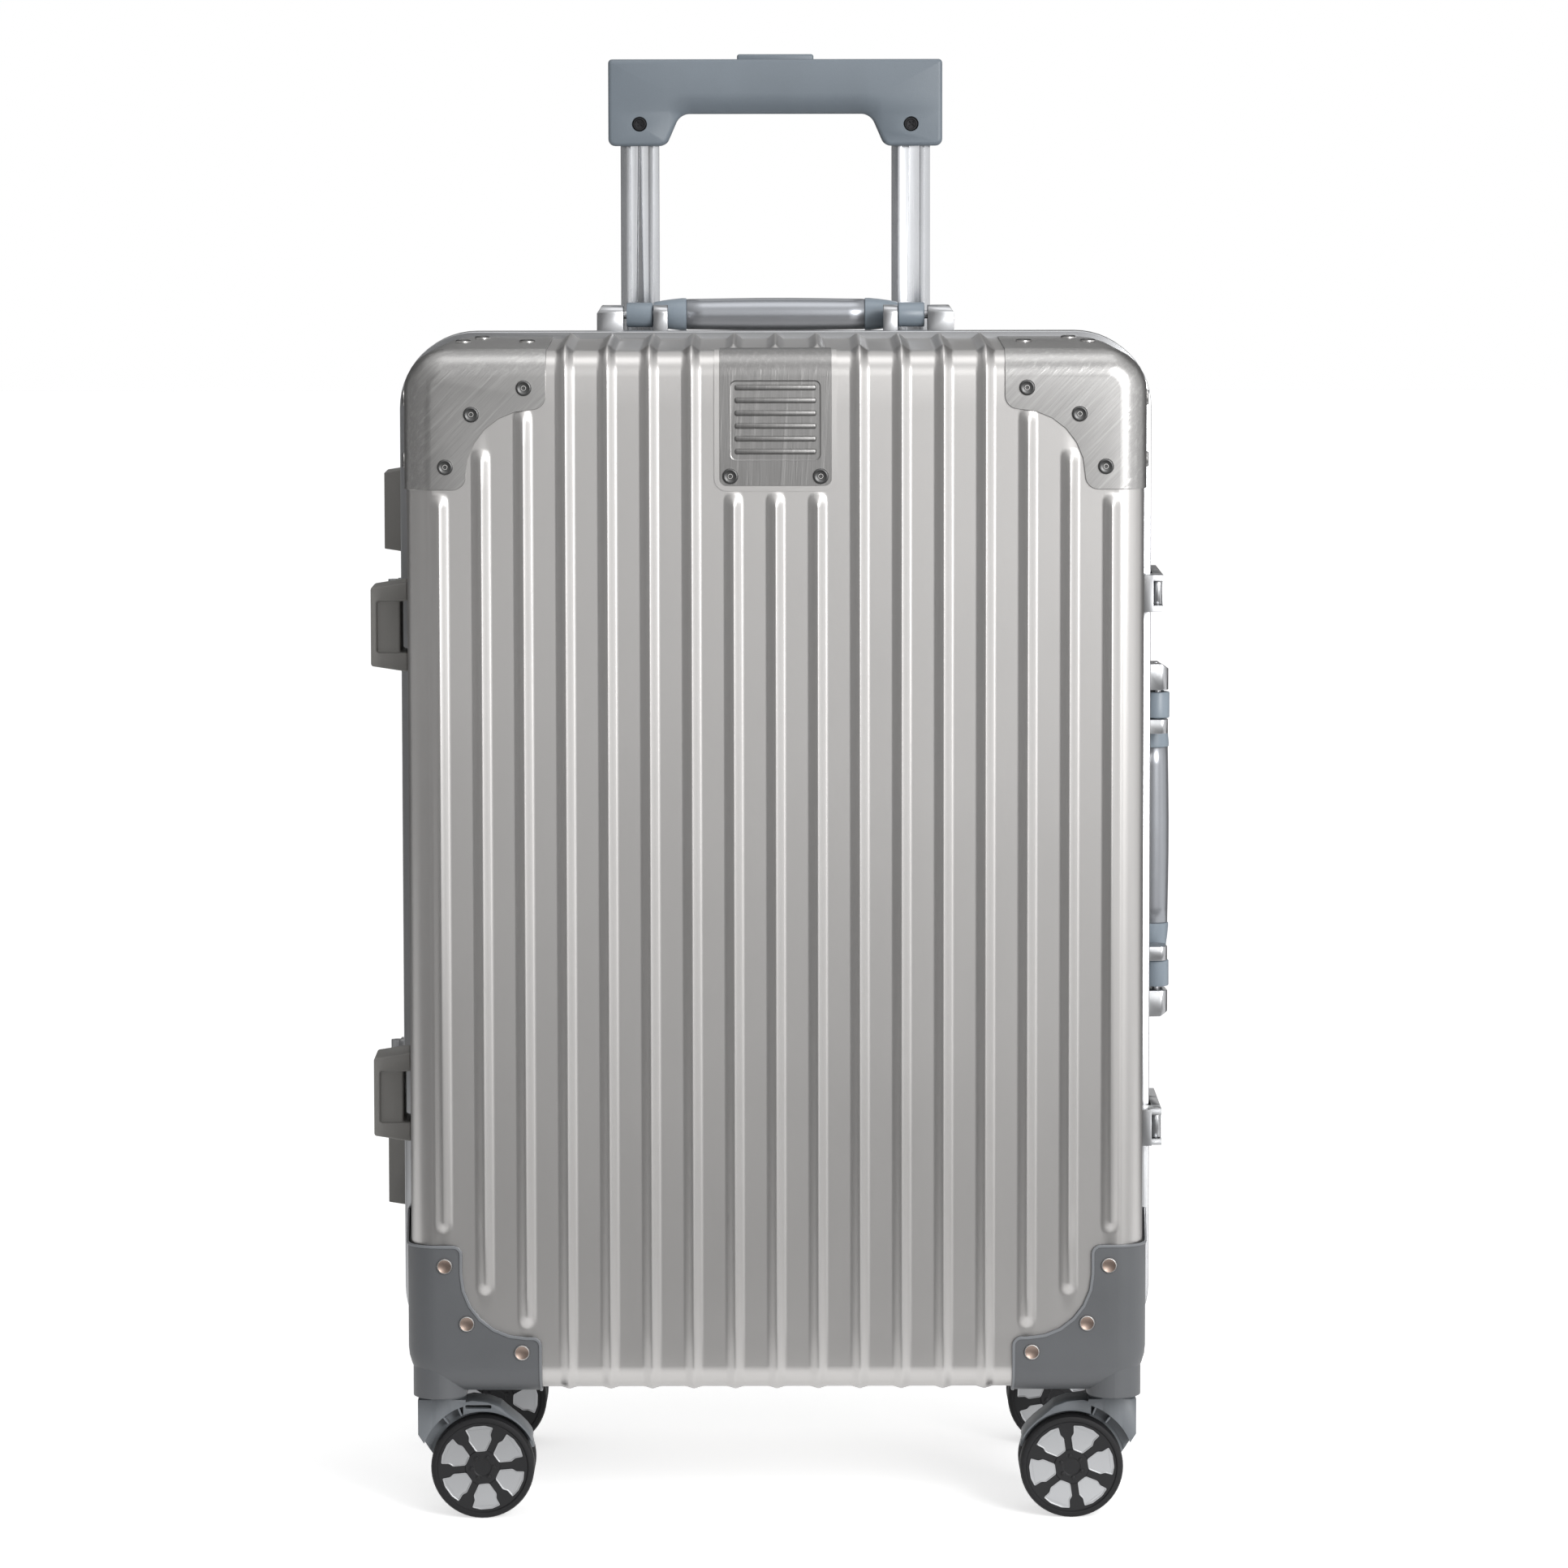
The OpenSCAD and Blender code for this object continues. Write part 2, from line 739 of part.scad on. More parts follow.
module side_feet(zs) {
    difference() {
        for (z = zs) side_foot(z);
        case_form(seat);
        // A foot next to a corner guard sits on the guard
        intersection() {
            case_form(low_guard_t + 2 * seat);
            translate([-shell_w, -shell_d, 0])
                cube([2 * shell_w, 2 * shell_d, shell_z + low_guard_h + clear]);
        }
        intersection() {
            case_form(top_guard_t + 2 * seat);
            translate([-shell_w, -shell_d, top_z - top_guard_h - clear])
                cube([2 * shell_w, 2 * shell_d, top_guard_h + cut]);
        }
    }
}

module front_feet() { color(guard_grey) side_feet(front_foot_zs); }
module rear_feet() { color(guard_grey) mirrored_y() side_feet(rear_foot_zs); }

// ---------- Latches ----------

lever_ear = 3;
lever_ear_y = 5;
pivot_base_d = 14;
pivot_base_back = 6;

// Base and ears on the front half that carry the lever's pin
module latch_pivots() {
    base_x = side_x(lever_pin_y + pivot_base_back) + 2 * seat;
    color(bright_metal) for (z = latch_zs) {
        difference() {
            union() {
                translate([base_x, pivot_base_back - lever_pin_y - pivot_base_d,
                           z - latch_h / 2])
                    cube([frame_outer_x - base_x, pivot_base_d, latch_h]);
                for (s = [0, 1])
                    translate([base_x, -lever_pin_y - lever_ear_y,
                               z - latch_h / 2 + s * (latch_h - lever_ear)])
                        cube([latch_reach - base_x, 2 * lever_ear_y, lever_ear]);
            }
            translate([latch_pin_x, -lever_pin_y, z - latch_h])
                cylinder(h = 2 * latch_h, r = lever_pin_d / 2 + seat / 2);
            // The base lies on the leaning side wall
            translate([side_x(lever_pin_y) + seat, -lever_pin_y, z - latch_h])
                rotate([0, 0, -side_lean]) translate([-cut, -cut / 2, 0])
                    cube([cut, cut, 2 * latch_h]);
        }
        translate([latch_pin_x, -lever_pin_y, z - latch_h / 2])
            cylinder(h = latch_h, d = lever_pin_d);
    }
}

module latch_lever(z) {
    inner_h = latch_h - 2 * lever_ear - 2 * clear;
    plate_y = norm([lever_ear_y, latch_reach - latch_pin_x]) + 2 * clear - lever_pin_y;
    color(bright_metal) difference() {
        union() {
            translate([latch_pin_x, -lever_pin_y, z - inner_h / 2])
                cylinder(h = inner_h, r = lever_t);
            translate([latch_pin_x, -lever_pin_y, z - inner_h / 2])
                cube([latch_reach - latch_pin_x, lever_pin_y, inner_h]);
            translate([latch_reach - lever_t, plate_y, z - latch_h / 2])
                cube([lever_t, frame_depth - plate_y - clear, latch_h]);
            for (s = [0, 1])
                translate([frame_outer_x + 2 * clear, plate_y,
                           z - latch_h / 2 + s * (latch_h - 2)])
                    cube([latch_reach - frame_outer_x - 2 * clear,
                          frame_depth - plate_y - clear, 2]);
        }
        translate([latch_pin_x, -lever_pin_y, z - latch_h])
            cylinder(h = 2 * latch_h, r = lever_pin_d / 2 + pin_play);
    }
}

module lower_latch_lever() { latch_lever(latch_zs[0]); }
module upper_latch_lever() { latch_lever(latch_zs[1]); }

// Dial housings on the rear half, each with its shaft and its release tab
module latch_bodies() {
    base_x = side_x(frame_depth) + 3 * seat;
    y0 = frame_depth + seat;
    color(bright_metal) for (z = latch_zs) {
        difference() {
            union() {
                translate([base_x, y0, z - latch_h / 2])
                    cube([latch_reach - base_x, latch_len, latch_h]);
                translate([base_x, y0 + 6, z + latch_h / 2 - 1])
                    cube([4, 12, 7]);
            }
            for (y = dial_ys)
                translate([base_x - 1, y - dial_w / 2 - clear, z - dial_r - 2 * clear])
                    cube([cut, dial_w + 2 * clear, 2 * dial_r + 4 * clear]);
            translate([dial_x, 0, z]) rotate([-90, 0, 0])
                cylinder(h = y0 + latch_len - 2, r = dial_shaft_d / 2 + seat / 2);
        }
        translate([dial_x, y0, z]) rotate([-90, 0, 0])
            cylinder(h = latch_len - 2, d = dial_shaft_d);
    }
}

module number_dial(z, k) {
    color(dark_metal) translate([dial_x, dial_ys[k] - dial_w / 2, z])
        rotate([-90, 0, 0]) difference() {
            cylinder(h = dial_w, r = dial_r);
            translate([0, 0, -1])
                cylinder(h = dial_w + 2, r = dial_shaft_d / 2 + pin_play);
        }
}

module lower_dial_1() { number_dial(latch_zs[0], 0); }
module lower_dial_2() { number_dial(latch_zs[0], 1); }
module lower_dial_3() { number_dial(latch_zs[0], 2); }
module upper_dial_1() { number_dial(latch_zs[1], 0); }
module upper_dial_2() { number_dial(latch_zs[1], 1); }
module upper_dial_3() { number_dial(latch_zs[1], 2); }

// ---------- Trolley ----------

// The chamfered section of a tube, grown by g
module tube_section(g) {
    w = tube_w / 2 + g;
    d = tube_d / 2 + g;
    c = tube_chamfer + g * 0.586;
    polygon([[w, d - c], [w - c, d], [c - w, d], [-w, d - c],
             [-w, c - d], [c - w, -d], [w - c, -d], [w, c - d]]);
}

module at_tubes() {
    for (s = [-1, 1]) translate([s * tube_x, trolley_y, 0]) children();
}

module tube(z0, z1, outer, inner) {
    translate([0, 0, z0]) linear_extrude(z1 - z0) difference() {
        tube_section(outer);
        tube_section(inner);
    }
}

// What the middle tube and its collar take out of the top wall
module trolley_passage(room) {
    at_tubes() translate([0, 0, roof_at_trolley - cut / 2])
        linear_extrude(cut) tube_section(mid_grow + 1.5 + room);
}

module trolley_outer_tubes() {
    color(bright_metal) at_tubes()
        tube(outer_bottom, roof_at_trolley - wall - 1.5, outer_grow,
             outer_grow - tube_wall);
}

module trolley_mid_tubes() {
    color(bright_metal) at_tubes()
        tube(mid_bottom, roof_at_trolley + 0.3, mid_grow, tube_play);
}

// Collars in the top wall that guide the middle tubes
module trolley_bezel() {
    top = roof_at_trolley + 0.2;
    color(handle_grey) at_tubes()
        tube(top - wall - 1.5, top, mid_grow + 1.5, mid_grow + clear);
}

// The bar at the foot of the case that holds the outer tubes
module trolley_base() {
    color(guard_grey) difference() {
        translate([-tube_x - base_side, trolley_y - base_front, base_z])
            cube([2 * (tube_x + base_side), base_front + base_back, base_h]);
        at_tubes() translate([0, 0, outer_bottom - seat])
            linear_extrude(base_h) tube_section(outer_grow + seat);
    }
}

lock_pin_r = 2;
lock_pin_z = inner_bottom + 20;
screw_z = grip_z + tube_seat - 3;

module trolley_inner_tubes() {
    color(bright_metal) difference() {
        at_tubes() tube(inner_bottom, inner_top, 0, -tube_wall);
        both_sides() {
            translate([tube_x, trolley_y, lock_pin_z]) rotate([0, 90, 0])
                cylinder(h = tube_w, r = lock_pin_r + clear);
            translate([tube_x, trolley_y, screw_z]) rotate([90, 0, 0])
                cylinder(h = tube_d, r = grip_screw_d / 4);
        }
    }
}

module grip_outline() {
    half = grip_len / 2;
    slope = 7;                    // The legs widen by this much towards the bar
    leg = half - grip_leg_w;
    polygon([[-half, grip_z], [-leg, grip_z], [slope - leg, bar_z], [leg - slope, bar_z],
             [leg, grip_z], [half, grip_z], [half, grip_top], [-half, grip_top]]);
}

module trolley_grip() {
    half_d = grip_d / 2;
    color(handle_grey) difference() {
        along_y(trolley_y - half_d, trolley_y + half_d) grip_outline();
        // Sockets for the tubes and bores for the rods
        at_tubes() {
            translate([0, 0, grip_z - 1]) linear_extrude(tube_seat + 1 + seat)
                tube_section(seat);
            translate([0, 0, grip_z]) cylinder(h = yoke_z - grip_z, r = rod_r + clear);
        }
        // Room for the button's cross bar, and its opening in the top
        translate([-tube_x - rod_r - 2, trolley_y - yoke_d / 2 - 0.5,
                   yoke_z - button_travel - clear])
            cube([2 * (tube_x + rod_r + 2), yoke_d + 1,
                  yoke_h + button_travel + 2 * clear]);
        translate([-button_len / 2 - clear, trolley_y - button_d / 2 - clear,
                   yoke_z - button_travel - clear])
            cube([button_len + 2 * clear, button_d + 2 * clear, cut]);
        // Counterbores for the screws
        both_sides() translate([tube_x, trolley_y - half_d - 1, screw_z])
            rotate([-90, 0, 0]) {
                cylinder(h = 3, r = grip_screw_d / 2 + seat);
                cylinder(h = half_d, r = grip_screw_d / 4 + seat);
            }
    }
}

module grip_screws() {
    face = trolley_y - grip_d / 2 + 0.6;
    color(dark_metal) both_sides() translate([tube_x, face, screw_z])
        rotate([-90, 0, 0]) difference() {
            union() {
                cylinder(h = 1.4 - seat, d = grip_screw_d);
                cylinder(h = grip_d / 2 - rod_r - 2, r = grip_screw_d / 4 - seat);
            }
            for (a = [0, 90]) rotate([0, 0, a])
                translate([-2, -0.4, -1]) cube([4, 0.8, 1.8]);
        }
}

module trolley_button() {
    color(handle_grey) {
        translate([-button_len / 2, trolley_y - button_d / 2, yoke_z])
            cube([button_len, button_d, grip_top + button_proud - yoke_z]);
        translate([-tube_x - rod_r - 1, trolley_y - yoke_d / 2, yoke_z])
            cube([2 * (tube_x + rod_r + 1), yoke_d, yoke_h]);
    }
}

module release_rods() {
    low = lock_pin_z + lock_pin_r + button_travel + 1;
    color(bright_metal) at_tubes() translate([0, 0, low])
        cylinder(h = yoke_z - seat - low, r = rod_r);
}

module right_lock_pin() {
    color(bright_metal) translate([tube_x - 2, trolley_y, lock_pin_z])
        rotate([0, 90, 0]) cylinder(h = tube_w / 2 + 2, r = lock_pin_r);
}

module left_lock_pin() { mirror([1, 0, 0]) right_lock_pin(); }

// ---------- Carry handles ----------
// Drawn along X on a wall at z = 0, with the grip folded over towards +Y.

module handle_ear(x0, x1, top, half_y) {
    along_x(x0, x1) {
        translate([-half_y, 0]) square([2 * half_y, top - 4]);
        translate([4 - half_y, 0]) square([2 * half_y - 8, top]);
        for (s = [-1, 1]) translate([s * (half_y - 4), top - 4]) circle(4);
    }
}

module handle_brackets() {
    top = handle_pin_h + 4.8;
    both_sides() {
        difference() {
            union() {
                handle_ear(block_x, handle_half, top, handle_block_w / 2);
                handle_ear(post_x - handle_post_len, post_x, top, handle_block_w / 2 - 1);
                translate([post_x - handle_post_len, -handle_block_w / 2 - 1.5, 0])
                    cube([handle_half - post_x + handle_post_len, handle_block_w + 3, 2.5]);
            }
            translate([post_x - cut, 0, handle_pin_h]) rotate([0, 90, 0])
                cylinder(h = 3 * cut, r = handle_pin_d / 2 + seat / 2);
            // Sloping outer shoulder of the block
            translate([handle_half, -cut, top - 4]) rotate([0, -32, 0])
                cube([cut, 2 * cut, cut]);
        }
        translate([post_x - handle_post_len, 0, handle_pin_h]) rotate([0, 90, 0])
            cylinder(h = handle_half - 2 - post_x + handle_post_len, d = handle_pin_d);
    }
}

core_r = handle_grip_r - 3.4;

// Barrels on the pins, arms, and the core and sleeves that carry the grip
module handle_arms_shape() {
    translate([0, 0, handle_pin_h]) {
        both_sides() difference() {
            union() {
                translate([barrel_x0, 0, 0]) rotate([0, 90, 0])
                    cylinder(h = barrel_x1 - barrel_x0, r = handle_barrel_r);
                translate([barrel_x0, 0, -core_r])
                    cube([barrel_x1 - barrel_x0, handle_swing_r, 2 * core_r]);
                translate([handle_grip_len / 2, handle_swing_r, 0]) rotate([0, 90, 0])
                    cylinder(h = barrel_x1 - handle_grip_len / 2, r = core_r);
                translate([handle_grip_len / 2, handle_swing_r, 0]) rotate([0, 90, 0])
                    cylinder(h = handle_sleeve_len, r1 = handle_grip_r,
                             r2 = handle_grip_r - 1.2);
            }
            translate([barrel_x0 - cut, 0, 0]) rotate([0, 90, 0])
                cylinder(h = 3 * cut, r = handle_pin_d / 2 + pin_play);
        }
        translate([-handle_half + 20, handle_swing_r, 0]) rotate([0, 90, 0])
            cylinder(h = 2 * handle_half - 40, r = core_r);
    }
}

module handle_grip_shape() {
    half = handle_grip_len / 2 - seat;
    translate([-half, handle_swing_r, handle_pin_h]) rotate([0, 90, 0]) difference() {
        cylinder(h = 2 * half, r = handle_grip_r);
        translate([0, 0, -1]) cylinder(h = 2 * half + 2, r = core_r + seat);
    }
}

module on_roof() {
    translate([0, handle_y, roof_z(handle_y)]) rotate([-roof_lean, 0, 0])
        translate([0, 0, seat]) children();
}

module on_side() {
    translate([side_x(handle_y), handle_y, mid_z]) rotate([0, 0, side_lean])
        rotate([0, 90, 0]) translate([0, 0, seat]) children();
}

module top_handle_brackets() { color(bright_metal) on_roof() handle_brackets(); }
module side_handle_brackets() { color(bright_metal) on_side() handle_brackets(); }
module top_handle_arms() { color(handle_grey) on_roof() handle_arms_shape(); }
module side_handle_arms() { color(handle_grey) on_side() handle_arms_shape(); }
module top_handle_grip() { color(bright_metal) on_roof() handle_grip_shape(); }
module side_handle_grip() { color(bright_metal) on_side() handle_grip_shape(); }

// ---------- Casters ----------
// Drawn at the origin with the wheels trailing towards +X.

axle_reach = fork_t / 2 + wheel_gap + wheel_w - 2;

// Side view of the fork: leg, axle eye and fender
module fork_outline() {
    x1 = caster_trail;
    polygon([[-collar_r, fork_top - 4], [-collar_r, fork_top - 21],
             [-4.8, wheel_r + 5], [x1 - 7, wheel_r - 6], [x1 + 7, wheel_r - 6],
             [x1 + 9, wheel_r + 2], [x1 + 24.6, wheel_r + 8], [x1 + 23, wheel_r + 15],
             [x1 + 18, wheel_r + 22], [x1 + 10, wheel_r + 28], [x1 + 2, wheel_r + 31],
             [collar_r, fork_top - 4]]);
}

module caster_fork() {
    color(guard_grey) {
        difference() {
            union() {
                along_y(-fork_t / 2, fork_t / 2) fork_outline();
                // The collar and the fender reach over both wheels
                difference() {
                    union() {
                        translate([0, 0, fork_top - 20])
                            cylinder(h = 20, r = collar_r);
                        along_y(-collar_r + 1, collar_r - 1) fork_outline();
                    }
                    translate([caster_trail, 0, wheel_r]) rotate([90, 0, 0])
                        cylinder(h = 2 * cut, r = wheel_r + 1.5, center = true);
                }
                translate([0, 0, fork_top - 1])
                    cylinder(h = kingpin_top - fork_top + 1, d = kingpin_d);
            }
            translate([caster_trail, 0, wheel_r]) rotate([90, 0, 0])
                cylinder(h = cut, r = axle_d / 2 + seat / 2, center = true);
        }
        translate([caster_trail, 0, wheel_r]) rotate([90, 0, 0])
            cylinder(h = 2 * axle_reach, d = axle_d, center = true);
    }
}

// A wheel whose bore opens towards the fork. It runs from y = 0 to y = -wheel_w
module wheel() {
    color(tyre_black) translate([caster_trail, 0, wheel_r]) rotate([90, 0, 0])
        rotate_extrude(convexity = 4)
            polygon([[axle_d / 2 + pin_play, 0], [wheel_r - 1.5, 0], [wheel_r, 1.5],
                     [wheel_r, wheel_w - 1.5], [wheel_r - 1.5, wheel_w],
                     [wheel_r - 4, wheel_w], [wheel_r - 5, wheel_w - 0.8],
                     [0, wheel_w - 0.8], [0, wheel_w - 1.5],
                     [axle_d / 2 + pin_play, wheel_w - 1.5]]);
}

// side_x and side_y are -1 or 1. The wheels trail towards the middle of the case
module at_caster(sx, sy) {
    translate([sx * caster_x, sy * caster_y, 0])
        mirror([sx > 0 ? 1 : 0, 0, 0]) mirror([0, sy > 0 ? 1 : 0, 0]) children();
}

module outer_wheel() { translate([0, -fork_t / 2 - wheel_gap, 0]) wheel(); }
module inner_wheel() { mirror([0, 1, 0]) outer_wheel(); }

module front_left_fork() { at_caster(-1, -1) caster_fork(); }
module front_left_outer_wheel() { at_caster(-1, -1) outer_wheel(); }
module front_left_inner_wheel() { at_caster(-1, -1) inner_wheel(); }
module front_right_fork() { at_caster(1, -1) caster_fork(); }
module front_right_outer_wheel() { at_caster(1, -1) outer_wheel(); }
module front_right_inner_wheel() { at_caster(1, -1) inner_wheel(); }
module rear_left_fork() { at_caster(-1, 1) caster_fork(); }
module rear_left_outer_wheel() { at_caster(-1, 1) outer_wheel(); }
module rear_left_inner_wheel() { at_caster(-1, 1) inner_wheel(); }
module rear_right_fork() { at_caster(1, 1) caster_fork(); }
module rear_right_outer_wheel() { at_caster(1, 1) outer_wheel(); }
module rear_right_inner_wheel() { at_caster(1, 1) inner_wheel(); }

// ---------- Lining ----------

// The room behind the frame, from y0 back to y1, for cutting the linings
module lining_room(y0, y1) {
    translate([-shell_w, -y1, 0]) cube([2 * shell_w, y1 - y0, top_z + cut]);
}

module cup_room() {
    both_sides() translate([caster_x, -caster_y, 0])
        cylinder(h = housing_top + 1, r = housing_r + 1);
}

module front_lining() {
    color(lining_grey) difference() {
        case_form(-lining_in);
        case_form(-lining_in - lining_t, over = 1);
        lining_room(0, frame_depth + clear);
        cup_room();
    }
}

module rear_lining() {
    color(lining_grey) mirrored_y() difference() {
        intersection() {
            case_form(-lining_in);
            lining_room(frame_depth + clear, rear_lining_y);
        }
        intersection() {
            case_form(-lining_in - lining_t, over = 1);
            lining_room(0, rear_lining_y - lining_t);
        }
        cup_room();
    }
}

// A flat zipped pocket on the back of the front lining
module lid_pocket() {
    back = face_y - lining_in - lining_t;
    color(lining_grey) translate([-pocket_w / 2, seat - back, mid_z - pocket_h / 2])
        cube([pocket_w, pocket_t, pocket_h]);
}

strap_zs = [mid_z - strap_apart / 2, mid_z + strap_apart / 2];
strap_y = rear_lining_y - lining_t - seat;

module packing_straps() {
    reach = side_x(strap_y) - lining_in - lining_t - 2;
    color(dark_metal) for (z = strap_zs)
        translate([-reach, strap_y - strap_t, z - strap_w / 2])
            cube([2 * reach, strap_t, strap_w]);
}

buckle_bar = 4;

module strap_buckles() {
    color(dark_metal) for (z = strap_zs)
        translate([-buckle_w / 2, strap_y - strap_t - seat - buckle_t,
                   z - strap_w / 2 - buckle_bar])
            difference() {
                cube([buckle_w, buckle_t, strap_w + 2 * buckle_bar]);
                for (x = [buckle_bar + 1, buckle_w - 2 * buckle_bar - 1])
                    translate([x, -1, buckle_bar]) cube([buckle_bar, buckle_t + 2, strap_w]);
            }
}

rear_shell();
rear_frame();
frame_seal();
rear_hinge_leaves();
rear_top_guards();
rear_lower_guards();
rear_rivets();
rear_feet();
top_handle_brackets();
side_handle_brackets();
trolley_outer_tubes();
trolley_bezel();
trolley_base();
latch_bodies();
rear_lining();
packing_straps();
strap_buckles();
front_shell();
front_frame();
front_hinge_leaves();
front_top_guards();
front_lower_guards();
front_rivets();
front_feet();
badge_plate();
front_lining();
lid_pocket();
latch_pivots();
lower_latch_lever();
upper_latch_lever();
lower_dial_1();
lower_dial_2();
lower_dial_3();
upper_dial_1();
upper_dial_2();
upper_dial_3();
trolley_mid_tubes();
trolley_inner_tubes();
trolley_grip();
grip_screws();
trolley_button();
release_rods();
left_lock_pin();
right_lock_pin();
top_handle_grip();
top_handle_arms();
side_handle_grip();
side_handle_arms();
front_left_fork();
front_left_outer_wheel();
front_left_inner_wheel();
front_right_fork();
front_right_outer_wheel();
front_right_inner_wheel();
rear_left_fork();
rear_left_outer_wheel();
rear_left_inner_wheel();
rear_right_fork();
rear_right_outer_wheel();
rear_right_inner_wheel();
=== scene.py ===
"""Builds a hard shell travel suitcase on wheels, piece by piece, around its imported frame."""

import functools
import json
import math

import bmesh
import bpy
from bpy.props import FloatProperty, FloatVectorProperty, PointerProperty
from mathutils import Matrix, Vector


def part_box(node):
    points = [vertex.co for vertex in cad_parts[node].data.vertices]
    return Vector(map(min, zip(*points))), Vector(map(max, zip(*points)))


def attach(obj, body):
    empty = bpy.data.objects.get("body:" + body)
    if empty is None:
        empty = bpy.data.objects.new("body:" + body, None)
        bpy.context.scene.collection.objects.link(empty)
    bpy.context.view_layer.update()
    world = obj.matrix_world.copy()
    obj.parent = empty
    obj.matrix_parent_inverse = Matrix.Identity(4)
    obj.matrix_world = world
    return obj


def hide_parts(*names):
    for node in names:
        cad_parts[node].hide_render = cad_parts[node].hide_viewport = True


bl_info = {
    "name": "Wheeled Suitcase",
    "version": (1, 0, 0),
    "blender": (4, 5, 0),
    "location": "3D View > Sidebar > Suitcase",
    "description": "Models a ribbed metal suitcase with a trolley handle and four casters",
    "category": "Add Mesh",
}

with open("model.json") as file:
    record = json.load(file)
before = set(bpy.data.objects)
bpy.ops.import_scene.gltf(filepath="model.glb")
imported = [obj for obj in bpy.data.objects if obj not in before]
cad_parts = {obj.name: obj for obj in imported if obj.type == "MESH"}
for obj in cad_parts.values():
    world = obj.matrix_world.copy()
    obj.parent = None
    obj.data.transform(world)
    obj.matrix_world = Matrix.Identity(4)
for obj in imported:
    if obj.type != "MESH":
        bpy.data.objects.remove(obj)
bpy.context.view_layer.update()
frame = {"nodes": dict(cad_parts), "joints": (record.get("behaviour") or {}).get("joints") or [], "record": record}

MM = 0.001
HAIR = 0.00005                   # Gap that keeps two sheets apart
TUBE_X = 0.0683                  # Distance of a trolley tube from the middle
CASTER_X = 0.1625                # Distance of a swivel's axis from the middle
FLARE_X, FLARE_Z = 0.005, 0.002  # How much narrower the case is at the edge of its face


# ---------- Settings ----------

def length(name, text, value):
    """A length setting, given in millimetres and kept in metres."""
    return FloatProperty(name=name, description=text, default=value * MM, min=0.0,
                         max=1.0, unit="LENGTH", precision=4)


def colour(name, text, value):
    """A colour setting, linear."""
    return FloatVectorProperty(name=name, description=text, default=value, size=3,
                               min=0.0, max=1.0, subtype="COLOR")


class SuitcaseSizes(bpy.types.PropertyGroup):
    """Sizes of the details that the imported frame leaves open"""
    rib_pitch: length("Rib Pitch", "Distance between two ribs", 20)
    rib_width: length("Rib Width", "Width of a rib at its foot", 8)
    rib_height: length("Rib Height", "Height of a rib's ridge over the shell", 2.7)
    rib_tip: length("Rib Tip", "Length of the sloping end of a rib", 7)
    shell_wall: length("Shell Wall", "Thickness of the shell's sheet", 1.2)
    face_corner: length("Face Corner", "Corner radius of the flat face", 18)
    frame_corner: length("Frame Corner", "Corner radius at the frame", 34)
    edge_round: length("Edge Round", "Radius between the face and the walls", 12)
    guard_sheet: length("Top Guard Sheet", "Thickness of a top corner guard", 1.0)
    guard_round: length("Guard Tip Round", "Radius of a top guard's tips", 6.5)
    lower_sheet: length("Lower Guard Sheet", "Thickness of a lower guard", 1.6)
    lip_width: length("Lower Guard Lip", "Width of the raised rim of a lower guard", 1.5)
    rivet_width: length("Rivet Width", "Width of a rivet's head", 7.6)
    weave: length("Lining Weave", "Distance between two threads of the lining", 0.9)


class SuitcaseColours(bpy.types.PropertyGroup):
    """Colours of the suitcase's finishes"""
    shell: colour("Shell", "Blasted aluminium of the shells", (0.465, 0.455, 0.447))
    frame: colour("Frame", "Anodised aluminium of the frames", (0.37, 0.375, 0.385))
    plate: colour("Plate", "Brushed aluminium of the top guards", (0.365, 0.36, 0.355))
    guard: colour("Lower Guard", "Moulded lower guards", (0.086, 0.09, 0.096))
    handle: colour("Trolley Grip", "Moulded trolley grip", (0.13, 0.155, 0.18))
    satin: colour("Carry Grip", "Satin grip of the carry handles", (0.28, 0.29, 0.31))
    feet: colour("Feet", "Moulded side feet", (0.20, 0.195, 0.185))
    fork: colour("Forks", "Moulded caster forks", (0.14, 0.152, 0.165))
    tyre: colour("Tyres", "Rubber of the wheels", (0.011, 0.011, 0.012))
    inlay: colour("Wheel Inlays", "Silver paint in the wheels", (0.37, 0.375, 0.385))
    tube: colour("Trolley Tubes", "Anodised trolley tubes", (0.56, 0.57, 0.59))
    rivet: colour("Dark Rivets", "Burnished rivet heads", (0.10, 0.10, 0.10))
    copper: colour("Lower Rivets", "Warm rivets of the lower guards", (0.26, 0.20, 0.17))
    lining: colour("Lining", "Woven lining", (0.045, 0.048, 0.056))
    webbing: colour("Webbing", "Packing straps", (0.012, 0.012, 0.014))


def sizes():
    """The sizes that are set in the scene."""
    return bpy.context.scene.suitcase_sizes


def colours():
    """The colours that are set in the scene."""
    return bpy.context.scene.suitcase_colours


# ---------- Finishes ----------

class Link:
    """A node's output that takes Python's arithmetic."""

    def __init__(self, nodes, socket):
        self.nodes, self.socket = nodes, socket

    def maths(self, operation, *values):
        return self.nodes.node("ShaderNodeMath", {"operation": operation}, dict(enumerate(values)))

    def __add__(self, other):
        return self.maths("ADD", self, other)

    def __sub__(self, other):
        return self.maths("SUBTRACT", self, other)

    def __rsub__(self, other):
        return self.maths("SUBTRACT", other, self)

    def __mul__(self, other):
        return self.maths("MULTIPLY", self, other)

    __radd__, __rmul__ = __add__, __mul__


